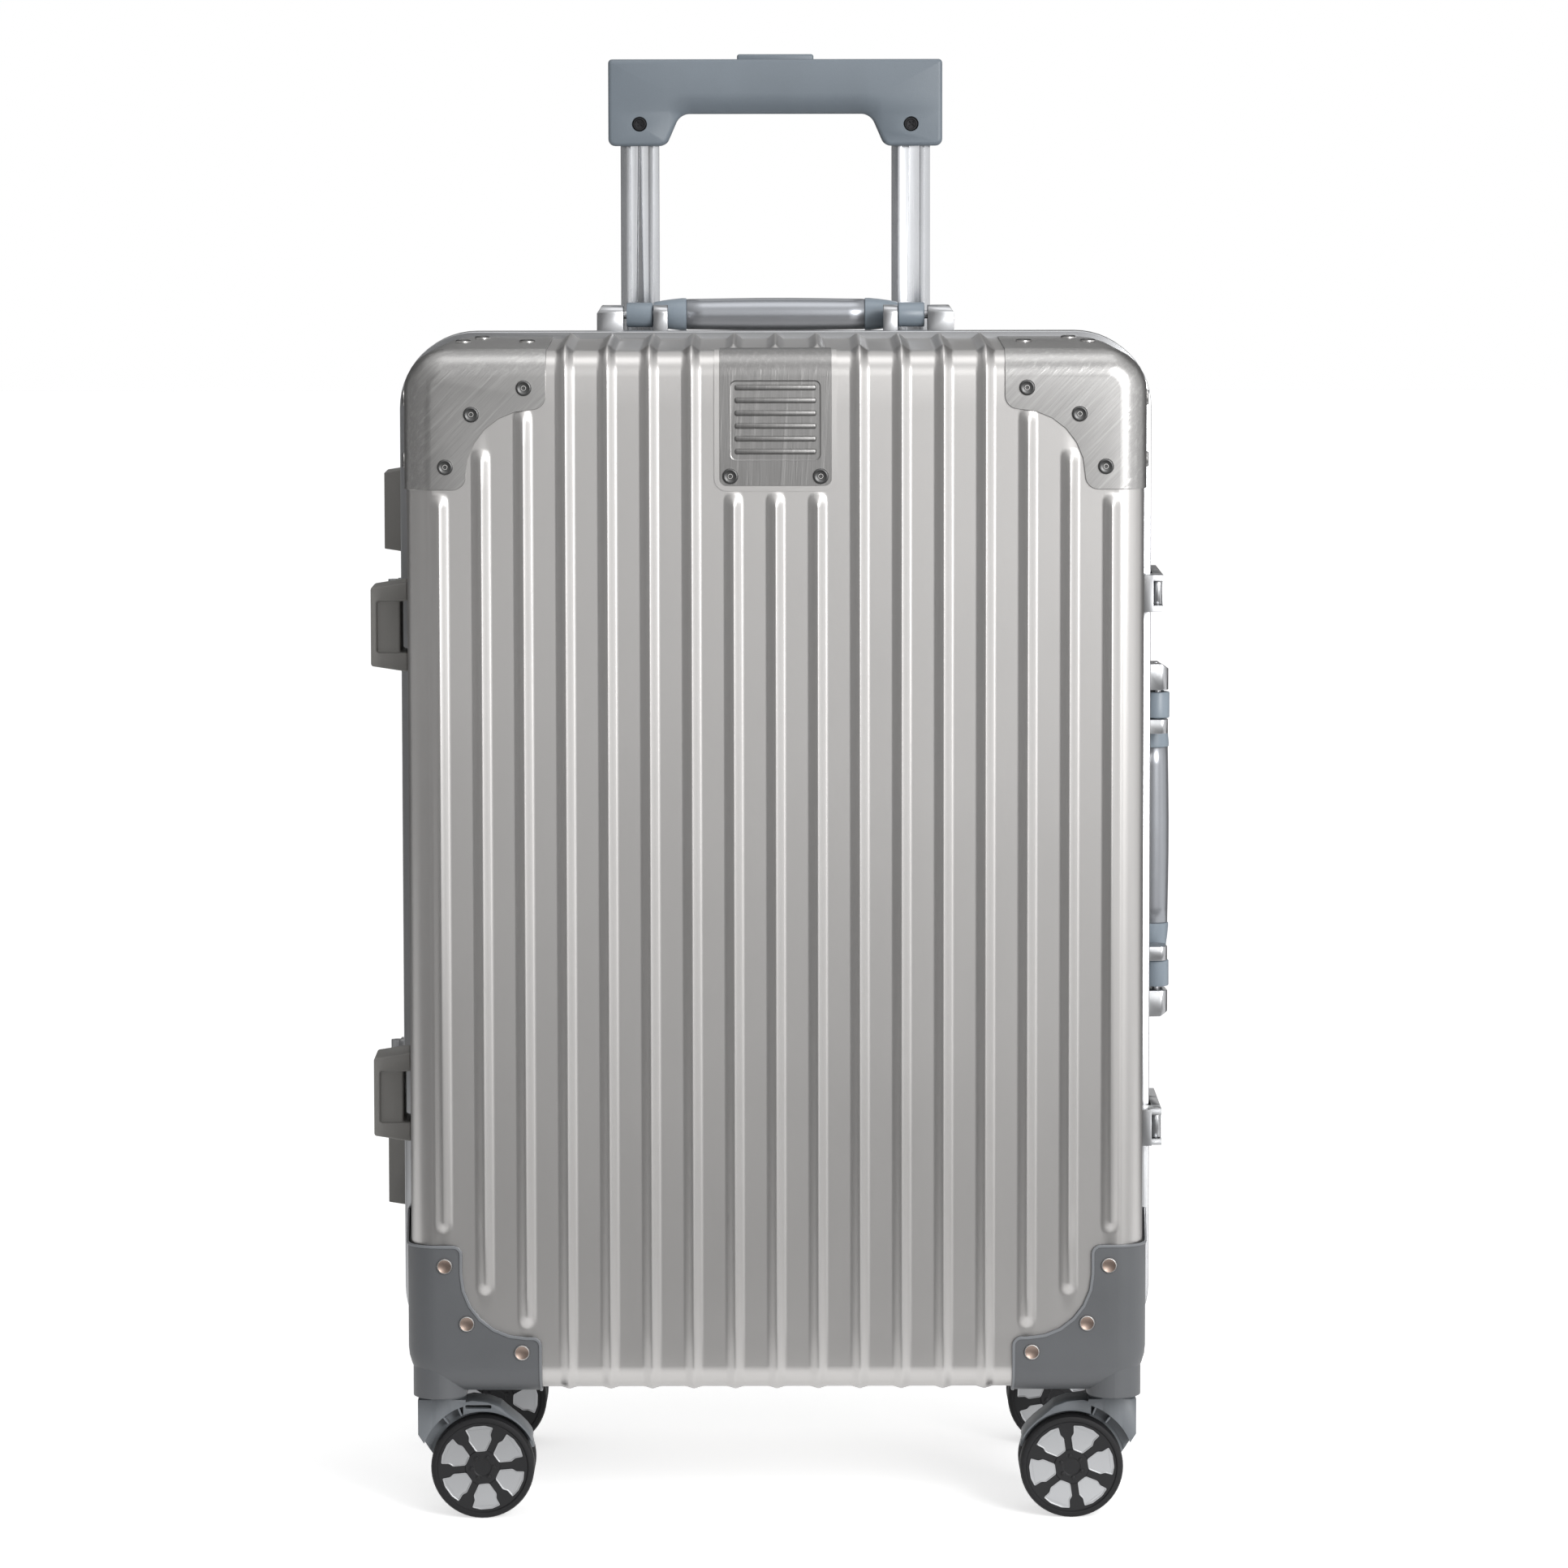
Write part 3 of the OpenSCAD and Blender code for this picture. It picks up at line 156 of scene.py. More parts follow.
class Nodes:
    """A node tree, whose nodes all come from one method."""

    def __init__(self, tree):
        self.tree = tree

    def node(self, kind, settings=None, values=None, output=0):
        """Adds a node with its settings first, then its values or links."""
        made = self.tree.nodes.new(kind)
        for key, value in (settings or {}).items():
            if key == "stops":
                for spare in range(len(value) - 2):
                    made.color_ramp.elements.new(0.5)
                for stop, (at, shade) in zip(made.color_ramp.elements, value):
                    stop.position, stop.color = at, (*[shade] * 3, 1.0)
            else:
                setattr(made, key, value)
        for key, value in (values or {}).items():
            if isinstance(value, Link):
                self.tree.links.new(value.socket, made.inputs[key])
            else:
                made.inputs[key].default_value = value
        return Link(self, made.outputs[output])

    def seen_rays(self):
        """1 for rays from the camera, in mirrors and through glass."""
        path = self.node("ShaderNodeLightPath").socket.node
        seen, *others = [Link(self, path.outputs["Is " + kind + " Ray"])
                         for kind in ("Camera", "Glossy", "Transmission")]
        for other in others:
            seen = self.node("ShaderNodeMath", {"operation": "MAXIMUM"}, {0: seen, 1: other})
        return seen

    def close(self, link, output):
        """Links the last shader to the tree's output."""
        self.tree.links.new(link.socket, self.tree.nodes[output].inputs[0])


class Finish(Nodes):
    """A material and the nodes that vary it over a surface, in object coordinates."""

    def __init__(self, name, tint, **sockets):
        self.material = bpy.data.materials.new(name)
        self.material.use_nodes = True
        super().__init__(self.material.node_tree)
        self.shader = self.tree.nodes["Principled BSDF"]
        self.colour = (*tint, 1.0)
        self.shader.inputs["Base Color"].default_value = self.colour
        self.material.diffuse_color = self.colour
        for socket, value in sockets.items():
            self.shader.inputs[socket.replace("_", " ")].default_value = value

    def place(self, scale=(1, 1, 1), turn=(0, 0, 0)):
        """Object coordinates, stretched and turned."""
        here = self.node("ShaderNodeTexCoord", output="Object")
        return self.node("ShaderNodeMapping", {"vector_type": "TEXTURE"}, {
            "Vector": here, "Rotation": [math.radians(a) for a in turn],
            "Scale": scale})

    def noise(self, where, scale, detail, roughness=0.5):
        """Noise from 0 to 1."""
        return self.node("ShaderNodeTexNoise", {}, {
            "Vector": where, "Scale": scale, "Detail": detail, "Roughness": roughness})

    def ramp(self, link, *stops):
        """Greys at stops along a value."""
        return self.node("ShaderNodeValToRGB", {"stops": stops}, {"Fac": link})

    def mix(self, factor, first, second):
        """A colour between two others."""
        return self.node("ShaderNodeMix", {"data_type": "RGBA"}, {
            0: factor, 6: first, 7: second}, output=2)

    def shade(self, factor, darkest, lightest):
        """The finish's own colour, from darkest to lightest times its strength."""
        return self.mix(factor, *[(*[min(1.0, c * level) for c in self.colour[:3]], 1.0)
                                  for level in (darkest, lightest)])

    def feed(self, **links):
        """Links values to the shader's sockets of the same names."""
        for socket, link in links.items():
            self.tree.links.new(link.socket, self.shader.inputs[socket.replace("_", " ")])

    def bump(self, height, distance, strength):
        """Relief that the light shows."""
        self.feed(Normal=self.node("ShaderNodeBump", {}, {
            "Height": height, "Distance": distance, "Strength": strength}))


finishes = {}


def finish(name):
    """The material of that name."""
    return finishes[name].material


def blasted_metal(name, tint, rough, clouding=0.06):
    """Bead blasted, anodised aluminium: an even satin with a very fine grain."""
    made = Finish(name, tint, Metallic=1.0, Roughness=rough)
    where = made.place()
    grain = made.noise(where, 2600, 3, 0.6)
    clouds = made.noise(where, 9, 3, 0.5)
    wipes = made.noise(made.place((1, 1, 6)), 40, 3, 0.6)
    made.feed(Base_Color=made.shade(clouds, 1 - clouding, 1 + clouding),
              Roughness=rough - 0.05 + 0.07 * grain + 0.05 * wipes)
    made.bump(grain, 0.00002, 0.7)
    return made


def brushed_metal(name, tint, rough, turn):
    """Sheet that was brushed in one direction, turned about the Y axis."""
    made = Finish(name, tint, Metallic=1.0, Roughness=rough)
    hairs = made.noise(made.place((1, 1, 60), (0, turn, 0)), 2200, 2, 0.7)
    scores = made.noise(made.place((1, 1, 40), (0, turn + 4, 0)), 500, 3, 0.6)
    clouds = made.noise(made.place(), 14, 3)
    lines = made.ramp(scores, (0.50, 0.0), (0.68, 1.0))
    made.feed(Base_Color=made.shade(hairs * 0.6 + lines * 0.3 + clouds * 0.2, 0.70, 1.22),
              Roughness=rough - 0.10 + 0.16 * hairs + 0.08 * clouds)
    made.bump(hairs * 0.6 + lines * 0.6, 0.00005, 0.9)
    return made


def moulded(name, tint, rough, grain_scale=1500, depth=0.00004, **sockets):
    """Moulded plastic with a fine spark-eroded grain and a little rubbing."""
    made = Finish(name, tint, Roughness=rough, **sockets)
    where = made.place()
    grain = made.noise(where, grain_scale, 3, 0.6)
    rubbed = made.noise(where, 28, 4, 0.55)
    made.feed(Base_Color=made.shade(rubbed * 0.7 + grain * 0.3, 0.86, 1.16),
              Roughness=rough - 0.08 + 0.10 * rubbed + 0.07 * grain)
    made.bump(grain, depth, 0.8)
    return made


def plain_metal(name, tint, rough, streak=(1, 1, 30)):
    """Drawn or turned metal with faint streaks along it."""
    made = Finish(name, tint, Metallic=1.0, Roughness=rough)
    streaks = made.noise(made.place(streak), 900, 3, 0.6)
    clouds = made.noise(made.place(), 30, 3)
    made.feed(Base_Color=made.shade(clouds, 0.93, 1.07), Roughness=rough - 0.05 + 0.10 * streaks)
    made.bump(streaks, 0.00001, 0.6)
    return made


def woven(name, tint, pitch, rough=0.85):
    """Plain weave: threads over and under in both directions, on every side of a piece."""
    made = Finish(name, tint, Roughness=rough, Sheen_Weight=0.25, Sheen_Roughness=0.5)
    here = made.node("ShaderNodeTexCoord", output="Object")
    parts = [made.node("ShaderNodeSeparateXYZ", {}, {0: here}, output=i) for i in range(3)]
    turns = 2 * math.pi / pitch
    x, y, z = [made.node("ShaderNodeMath", {"operation": "SINE"}, {0: p * turns}) for p in parts]
    threads = x * z + x * y + y * z
    soft = made.noise(here, 900, 3, 0.7)
    faded = made.noise(here, 7, 3)
    made.feed(Base_Color=made.shade(threads * 0.25 + 0.4 + soft * 0.3 + faded * 0.2 - 0.2,
                                    0.65, 1.35),
              Roughness=rough - 0.06 + 0.1 * soft)
    made.bump(threads * 0.5 + soft * 0.5, 0.00012, 0.8)
    return made


def make_finishes():
    """Makes every finish of the suitcase."""
    c, s = colours(), sizes()
    dull = dict(Specular_IOR_Level=0.25)
    for made in (
            blasted_metal("shell_satin", c.shell, 0.36),
            blasted_metal("frame_satin", c.frame, 0.30, 0.03),
            blasted_metal("fittings_satin", c.frame, 0.28, 0.04),
            brushed_metal("plate_diagonal", c.plate, 0.34, 42),
            brushed_metal("plate_upright", [v * 0.68 for v in c.plate], 0.36, 0),
            moulded("guard_moulded", c.guard, 0.46),
            # The lip is painted lighter than its guard: a painted highlight along its rounded rim.
            moulded("guard_lip_painted_highlight", [v * 1.8 for v in c.guard], 0.4),
            moulded("grip_moulded", c.handle, 0.42),
            moulded("sleeve_moulded", [v * 1.5 for v in c.handle], 0.38),
            moulded("feet_moulded", c.feet, 0.55),
            moulded("fork_moulded", c.fork, 0.45),
            moulded("dial_gloss", (0.012, 0.012, 0.014), 0.28, 700, 0.00002),
            moulded("dial_figures", (0.80, 0.80, 0.78), 0.5),
            moulded("gasket_rubber", (0.015, 0.015, 0.016), 0.75),
            moulded("tyre_rubber", c.tyre, 0.6, 900, 0.00008, **dull),
            moulded("wheel_hub", [v * 1.2 for v in c.tyre], 0.42, 900, 0.00003, **dull),
            blasted_metal("wheel_inlay", c.inlay, 0.38, 0.22),
            moulded("grip_satin", c.satin, 0.30, 2200, 0.00001, Metallic=0.75),
            moulded("buckle_plastic", c.webbing, 0.35, 1200, 0.00002),
            plain_metal("tube_anodised", c.tube, 0.26),
            plain_metal("rivet_dark", c.rivet, 0.42, (1, 1, 1)),
            plain_metal("rivet_ring", (0.62, 0.61, 0.60), 0.30, (1, 1, 1)),
            plain_metal("rivet_copper", c.copper, 0.40, (1, 1, 1)),
            plain_metal("screw_black", (0.03, 0.03, 0.032), 0.38, (1, 1, 1)),
            plain_metal("steel_rod", (0.50, 0.50, 0.51), 0.30),
            woven("lining_weave", c.lining, s.weave * 2),
            woven("pocket_weave", [v * 1.5 for v in c.lining], s.weave * 3),
            woven("strap_webbing", c.webbing, s.weave * 2.4, 0.7)):
        finishes[made.material.name] = made


# ---------- Pieces ----------

def tidy(bm):
    """Merges doubles and turns the faces outwards."""
    bmesh.ops.remove_doubles(bm, verts=bm.verts, dist=1e-6)
    bmesh.ops.recalc_face_normals(bm, faces=bm.faces)
    return bm


def shown(name, data):
    """An object in the scene."""
    made = bpy.data.objects.new(name, data)
    bpy.context.scene.collection.objects.link(made)
    return made


def placed(name, bm, *materials):
    """An object at the origin with that mesh."""
    mesh = bpy.data.meshes.new(name)
    for material in materials:
        mesh.materials.append(finish(material))
    return closed(shown(name, mesh), bm)


def evaluated(made):
    """The mesh that an object comes to."""
    bpy.context.view_layer.update()
    return bpy.data.meshes.new_from_object(
        made.evaluated_get(bpy.context.evaluated_depsgraph_get()))


def applied(made):
    """Turns an object's modifiers into its mesh."""
    mesh = evaluated(made)
    made.modifiers.clear()
    old, made.data = made.data, mesh
    bpy.data.meshes.remove(old)
    return made


def soft_edges(made, width, angle=32, segments=2):
    """Rounds the sharp edges and shades the rest smooth."""
    made.data.shade_smooth()
    edges = made.modifiers.new("Soft Edges", "BEVEL")
    edges.width, edges.segments, edges.limit_method = width, segments, "ANGLE"
    edges.angle_limit, edges.harden_normals = math.radians(angle), True
    edges.use_clamp_overlap, edges.miter_outer = True, "MITER_ARC"
    return made


def thickened(made, thickness):
    """Turns a skin into a sheet, inwards."""
    wall = made.modifiers.new("Wall", "SOLIDIFY")
    wall.thickness, wall.offset = thickness, -1
    return applied(made)


def smooth(made, angle):
    """Shades a piece smooth, apart from the edges that are sharper than the angle."""
    made.data.shade_smooth()
    made.data.set_sharp_from_angle(angle=math.radians(angle))
    return made


def hand_over(made, body, slot, *nodes):
    """Gives a piece its body, and hides the nodes that it stands for, if any; its slot is not used."""
    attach(made, body)
    if nodes:
        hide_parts(*nodes)


def bodies():
    """The body that each node rides on."""
    return {node: body for body, nodes in frame["record"]["behaviour"]["bodies"].items()
            for node in nodes}


def slot_of(node):
    """The material slot of a node."""
    return next(p["material_slot"] for p in frame["record"]["subparts"] if p["node"] == node)


def opened(mesh):
    """A copy of a mesh, to work on."""
    bm = bmesh.new()
    bm.from_mesh(mesh)
    return bm


def painted(bm, number):
    """Gives all faces the material of that number in their piece."""
    for face in bm.faces:
        face.material_index = number
    return bm


def closed(made, bm):
    """Gives an object the mesh that was worked on."""
    bm.to_mesh(made.data)
    bm.free()
    return made


def copied(node):
    """A node's own shape with its loose triangles merged into faces."""
    bm = opened(frame["nodes"][node].data)
    bmesh.ops.remove_doubles(bm, verts=bm.verts, dist=2e-6)
    bmesh.ops.dissolve_limit(bm, angle_limit=math.radians(0.6), verts=bm.verts, edges=bm.edges)
    return bm


def move(bm, *steps, verts=None):
    """Applies matrices to a bmesh, the first one first."""
    whole = Matrix()
    for step in steps:
        whole = step @ whole
    bmesh.ops.transform(bm, matrix=whole, verts=verts or bm.verts)
    return bm


def shift(x=0.0, y=0.0, z=0.0):
    """A step along the axes."""
    return Matrix.Translation((x, y, z))


def turn(degrees, axis):
    """A turn about an axis through the origin."""
    return Matrix.Rotation(math.radians(degrees), 4, axis)


def stretch(x=1.0, y=1.0, z=1.0):
    """A scaling, or a mirroring where a value is below zero."""
    return Matrix.Diagonal((x, y, z, 1.0))


@functools.cache
def box(node):
    """Lowest and highest corner of a node."""
    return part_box(node)


def middle(node):
    """The middle of a node's box."""
    low, high = box(node)
    return (low + high) / 2


def square(bm):
    """The corners of a flat square, one metre wide."""
    return bmesh.ops.create_grid(bm, x_segments=1, y_segments=1, size=0.5)["verts"]


def rounded(bm, geom, radius, steps, affect="EDGES", clamped=False):
    """Rounds edges, or the corners of a flat shape."""
    bmesh.ops.bevel(bm, geom=list(geom), offset=radius, offset_type="OFFSET", segments=steps,
                    profile=0.5, affect=affect, material=-1, clamp_overlap=clamped)


def raised(bm, **way):
    """Makes a solid of a flat shape."""
    grown = bmesh.ops.extrude_face_region(bm, geom=list(bm.faces))["geom"]
    return move(bm, shift(**way), verts=[v for v in grown if isinstance(v, bmesh.types.BMVert)])


def inset(bm, faces, width):
    """Leaves a rim of that width round some faces."""
    bmesh.ops.inset_region(bm, faces=faces, thickness=width, depth=0)


# ---------- Stage ----------

CAMERA_LENS = (36, 148.211, -0.08)       # Sensor width, focal length and rise
CAMERA_PLACE = (0.0027, -3.17609, 0.68454)
CAMERA_TURN = (85.0455, 0.0882, -0.0301)
CASE_MIDDLE = (0.0, 0.05, 0.4)
WHITE = (1, 1, 1, 1)
# Name, energy, width, height, place and the height that it is aimed at
LAMPS = (("Key Lamp", 46, 0.9, 1.2, (1.25, -2.1, 1.15), 0.35),
         ("Front Lamp", 6, 1.0, 1.2, (0.9, -2.6, 1.5), 0.35),
         ("Side Lamp", 3, 0.7, 1.9, (2.2, -0.9, 0.7), 0.35),
         ("Top Lamp", 10, 1.6, 1.2, (0.2, -0.5, 2.6), 0.5))
# Name, width, height, place, the point that it faces and its grey
CARDS = (("Left Card", 2.6, 2.6, (-1.5, -0.55, 0.7), CASE_MIDDLE, 0.5),
         ("Left Rear Card", 1.5, 2.4, (-0.95, 1.05, 0.75), CASE_MIDDLE, 0.13),
         ("Right Rear Card", 1.5, 2.4, (0.95, 1.05, 0.75), CASE_MIDDLE, 0.16),
         ("Rear Card", 1.6, 0.9, (0.0, 1.7, 0.95), (0.0, 0.0, 0.56), 0.2),
         ("Front Left Card", 1.1, 1.8, (-0.95, -1.9, 0.6), CASE_MIDDLE, 0.22),
         ("Rear Low Card", 4.0, 3.0, (0.0, 1.9, 0.01), (0.0, 1.9, 1.0), 0.22),
         ("Low Card", 3.0, 2.4, (0.0, -1.45, 0.01), (0.0, -1.45, 1.0), 0.24))


def aimed(at, towards, axis):
    """The turn that points an axis from one place to another."""
    return (Vector(towards) - Vector(at)).to_track_quat(axis, "Y")


def lamp(name, energy, width, height, at, aim_z):
    """A soft area lamp."""
    light = bpy.data.lights.new(name, "AREA")
    light.energy, light.shape, light.size, light.size_y = energy, "RECTANGLE", width, height
    made = shown(name, light)
    made.location, made.visible_camera = at, False
    made.rotation_euler = aimed(at, (0, 0, aim_z), "-Z").to_euler()


def staged(name, bm, paint):
    """An object at the origin with that mesh and paint, used for the floor and the cards."""
    made = placed(name, bm)
    made.data.materials.append(paint.material)
    return made


def card(name, width, height, at, towards, level):
    """A grey card that shapes the reflections and stays out of view."""
    bm = bmesh.new()
    square(bm)
    move(bm, stretch(width, height), aimed(at, towards, "Z").to_matrix().to_4x4(), shift(*at))
    made = staged(name, bm, Finish(name, (level,) * 3, Roughness=0.9))
    made.visible_camera = made.visible_shadow = made.visible_diffuse = False


def white_surroundings(scene):
    """White to the camera and in reflections, a plain level for the rest."""
    scene.world = bpy.data.worlds.new("Surround")
    scene.world.use_nodes = True
    sky = Nodes(scene.world.node_tree)
    plain = sky.tree.nodes["Background"]
    plain.inputs["Color"].default_value, plain.inputs["Strength"].default_value = WHITE, 0.55
    seen = sky.node("ShaderNodeBackground", {}, {"Color": WHITE, "Strength": 1.0})
    mixed = sky.node("ShaderNodeMixShader", {}, {
        0: sky.seen_rays(), 1: Link(sky, plain.outputs[0]), 2: seen})
    sky.close(mixed, "World Output")


def white_floor():
    """A white floor that keeps the object's shadow."""
    bm = bmesh.new()
    square(bm)
    paint = Finish("Floor Paint", (0.82, 0.82, 0.82), Roughness=0.7, Specular_IOR_Level=0.2)
    glow = paint.node("ShaderNodeEmission", {}, {
        "Color": (0.6, 0.6, 0.6, 1), "Strength": paint.seen_rays()})
    paint.close(paint.node("ShaderNodeAddShader", {}, {
        0: Link(paint, paint.shader.outputs[0]), 1: glow}), "Material Output")
    staged("Floor", move(bm, stretch(24, 24)), paint)


class SUITCASE_OT_stage(bpy.types.Operator):
    """Set the camera, the white surroundings, the floor and the lamps"""
    bl_idname = "suitcase.stage"
    bl_label = "Stage"

    def execute(self, context):
        scene = context.scene
        scene.camera = camera = shown("Camera", bpy.data.cameras.new("Camera"))
        camera.data.sensor_width, camera.data.lens, camera.data.shift_y = CAMERA_LENS
        camera.location = CAMERA_PLACE
        camera.rotation_euler = [math.radians(a) for a in CAMERA_TURN]
        scene.view_settings.view_transform = "Standard"
        white_surroundings(scene)
        white_floor()
        for row in LAMPS:
            lamp(*row)
        for row in CARDS:
            card(*row)
        return {"FINISHED"}


# ---------- Shells ----------

BADGE_RIBS = 1                   # Ribs up to this far from the middle stop under the badge
# Heights at which the outer ribs stop, by their number from the middle
TOP_STOPS = {8: 0.498, 7: 0.5195, 6: 0.5385}
LOW_STOPS = {8: 0.1415, 7: 0.1115, 6: 0.0955}
BADGE_STOP = 0.4988
# Height of a rib, from 0 to 1, at distances from its ridge
RIB_PROFILE = ((0.0, 1.0), (0.14, 0.93), (0.8, 0.12), (1.0, 0.0), (9.0, 0.0))
# Lines of edges across a rib and along its sloping end
RIB_CUTS = (-1.16, -1, -0.8, -0.45, -0.14, 0, 0.14, 0.45, 0.8, 1, 1.16)
TIP_CUTS = (0, 0.12, 0.28, 0.48, 0.72, 1.0)
TIP_BLEND = 2.6                  # How squarely a rib's end runs into its sides


@functools.cache
def case_size():
    """Half width, floor and roof of the case at the face, and the depths of its two ends."""
    low, high = box("front_shell")
    rib = sizes().rib_height
    return dict(half=high.x, low=low.z + rib, high=high.z - rib, face=low.y + rib,
                back=high.y, run=-low.y - rib - sizes().edge_round + high.y)


def wall_leans():
    """How far the side walls and the roof lean, in degrees."""
    run = case_size()["run"]
    return math.degrees(math.atan(FLARE_X / run)), math.degrees(math.atan(FLARE_Z / run))


def ring(bm, half, low, high, y, corner):
    """A standing face with four round corners."""
    known = set(bm.faces)
    verts = square(bm)
    move(bm, stretch(2 * half, high - low), turn(90, "X"), shift(0, y, (low + high) / 2),
         verts=verts)
    rounded(bm, verts, corner, 8, "VERTICES")
    return next(f for f in bm.faces if f not in known)


def case_form(grow=0.0):
    """The open front half without ribs, grown outwards: a face, walls and round edges."""
    c, s = case_size(), sizes()
    past = s.edge_round / c["run"]
    bm = bmesh.new()
    mouth = ring(bm, c["half"] + grow, c["low"] - grow, c["high"] + grow, c["back"],
                 s.frame_corner + grow)
    inset_x, inset_z = FLARE_X * (1 + past) - grow, FLARE_Z * (1 + past) - grow
    face = ring(bm, c["half"] - inset_x, c["low"] + inset_z, c["high"] - inset_z,
                c["face"] - grow, s.face_corner + grow)
    bmesh.ops.bridge_loops(bm, edges=[*mouth.edges, *face.edges])
    bmesh.ops.delete(bm, geom=[mouth], context="FACES_ONLY")
    rounded(bm, face.edges, s.edge_round + grow, 7, clamped=True)
    return tidy(bm)


def cut_across(bm, axis, at):
    """Adds a line of edges all round, at a distance along an axis."""
    normal = Vector((axis == "X", axis == "Y", axis == "Z"))
    bmesh.ops.bisect_plane(bm, geom=[*bm.verts, *bm.edges, *bm.faces], dist=1e-6,
                           plane_co=normal * at, plane_no=normal)


def rib_section(spread):
    """Height of a rib, from 0 to 1, at a distance from its ridge of 0 to 1."""
    for (a, high), (b, low) in zip(RIB_PROFILE, RIB_PROFILE[1:]):
        if a <= spread <= b:
            return high + (low - high) * (spread - a) / (b - a)
    return 0.0


def rib_end(place, number, rear):
    """Distance from a rib's nearest end, or less than zero where there is no rib."""
    side = abs(number)
    c = case_size()
    if rear:
        top = TOP_STOPS.get(side, TOP_STOPS[6])
    else:
        top = BADGE_STOP if side <= BADGE_RIBS else TOP_STOPS.get(side, 1.0)
    inside = [top - place.z, place.z - LOW_STOPS.get(side, 0.0)]
    over_roof = place.z > c["high"] - 0.006
    if side <= BADGE_RIBS and over_roof and not rear:
        inside = [place.y - c["face"] - sizes().edge_round - 0.001]
    return min(inside)


def raise_ribs(bm, rear):
    """Presses the ribs into the sheet."""
    s, c = sizes(), case_size()
    reach = s.rib_width * 0.55
    for number in range(-8, 9):
        for spread in RIB_CUTS:
            cut_across(bm, "X", number * s.rib_pitch + spread * reach)
    tops = [*TOP_STOPS.values()] + ([] if rear else [BADGE_STOP])
    for share in TIP_CUTS:
        for top in tops:
            cut_across(bm, "Z", top - share * s.rib_tip)
        for low in LOW_STOPS.values():
            cut_across(bm, "Z", low + share * s.rib_tip)
        if not rear:
            cut_across(bm, "Y", c["face"] + s.edge_round + 0.001 + share * s.rib_tip)
    bm.normal_update()
    moves = []
    for v in bm.verts:
        number = round(v.co.x / s.rib_pitch)
        if abs(number) > 8:
            continue
        spread = abs(v.co.x - number * s.rib_pitch) / reach
        inside = rib_end(v.co, number, rear)
        if spread < 1 and inside > 0:
            slope = max(0.0, 1 - inside / s.rib_tip)
            spread = (spread ** TIP_BLEND + slope ** TIP_BLEND) ** (1 / TIP_BLEND)
            under = 1 - 0.6 * max(0.0, -v.normal.z)
            moves.append((v, v.normal.normalized() * rib_section(spread) * s.rib_height * under))
    for v, step in moves:
        v.co += step


def mirrored_back(bm):
    """Turns a front half into a rear half."""
    move(bm, stretch(y=-1))
    bmesh.ops.reverse_faces(bm, faces=bm.faces)


def open_for_trolley(bm):
    """Leaves a hole in the roof for each pair of trolley tubes."""
    low, high = box("trolley_bezel")
    inner, rim = high.x - 0.025, 0.0004
    start, end = low.y + rim, high.y - rim
    for at in (inner + rim, high.x - rim, low.x + rim, -inner - rim):
        cut_across(bm, "X", at)
    for at in (start, end):
        cut_across(bm, "Y", at)
    middles = [(face, face.calc_center_median()) for face in bm.faces]
    bmesh.ops.delete(bm, context="FACES", geom=[
        face for face, at in middles if inner + rim < abs(at.x) < high.x - rim
        and start < at.y < end and at.z > low.z - 0.01])


class SUITCASE_OT_shells(bpy.types.Operator):
    """Press the two ribbed shells"""
    bl_idname = "suitcase.shells"
    bl_label = "Ribbed Shells"

    def execute(self, context):
        for rear, name in ((False, "front"), (True, "rear")):
            bm = case_form()
            raise_ribs(bm, rear)
            if rear:
                mirrored_back(bm)
                open_for_trolley(bm)
            shell = placed(name + "_shell_sheet", bm, "shell_satin")
            smooth(thickened(shell, sizes().shell_wall), 50)
            hand_over(shell, name + "_case", "shell", name + "_shell")
        return {"FINISHED"}


# ---------- Shapes ----------

def outlined(points, y0, y1, steps=6):
    """A prism along Y whose outline is given as (x, z, corner radius)."""
    bm = bmesh.new()
    corners = [bm.verts.new((x, y0, z)) for x, z, r in points]
    bm.faces.new(corners)
    for corner, (x, z, r) in zip(corners, points):
        if r:
            rounded(bm, [corner], r, steps, "VERTICES")
    return tidy(raised(bm, y=y1 - y0))


def doubled(bm):
    """Adds the shape's mirror image on the other side of the case."""
    bmesh.ops.mirror(bm, geom=[*bm.verts, *bm.edges, *bm.faces], axis="X", merge_dist=-1)
    bmesh.ops.recalc_face_normals(bm, faces=bm.faces)
    return bm


def added(bm, other):
    """Puts another bmesh into the first one."""
    mesh = bpy.data.meshes.new("step")
    other.to_mesh(mesh)
    other.free()
    bm.from_mesh(mesh)
    bpy.data.meshes.remove(mesh)
    return bm


def cut_by(made, bm, operation="DIFFERENCE"):
    """Cuts a piece with a shape, and leaves only the result."""
    tool = placed("tool", bm)
    step = made.modifiers.new("Cut", "BOOLEAN")
    step.object, step.operation, step.solver = tool, operation, "EXACT"
    applied(made)
    bpy.data.objects.remove(tool)
    return made


def spun(profile, steps, at=(0, 0, 0), facing=Matrix(), bands=None):
    """A turned shape from (radius, height) in mm, with a material for each band."""
    bm = bmesh.new()
    profile = [(r * MM, h * MM) for r, h in profile]
    line = [bm.verts.new((r, 0, h)) for r, h in profile]
    edges = [bm.edges.new(pair) for pair in zip(line, line[1:])]
    bmesh.ops.spin(bm, geom=[*line, *edges], cent=(0, 0, 0), axis=(0, 0, 1), dvec=(0, 0, 0),
                   angle=2 * math.pi, steps=steps, use_merge=True, use_duplicate=False)
    tidy(bm)
    if bands:
        middles = [((a + c) / 2, (b + d) / 2) for (a, b), (c, d) in zip(profile, profile[1:])]
        for face in bm.faces:
            at_ = face.calc_center_median()
            here = (math.hypot(at_.x, at_.y), at_.z)
            near = min(range(len(middles)), key=lambda i: math.dist(middles[i], here))
            face.material_index = bands[near]
    return move(bm, facing, shift(*at))


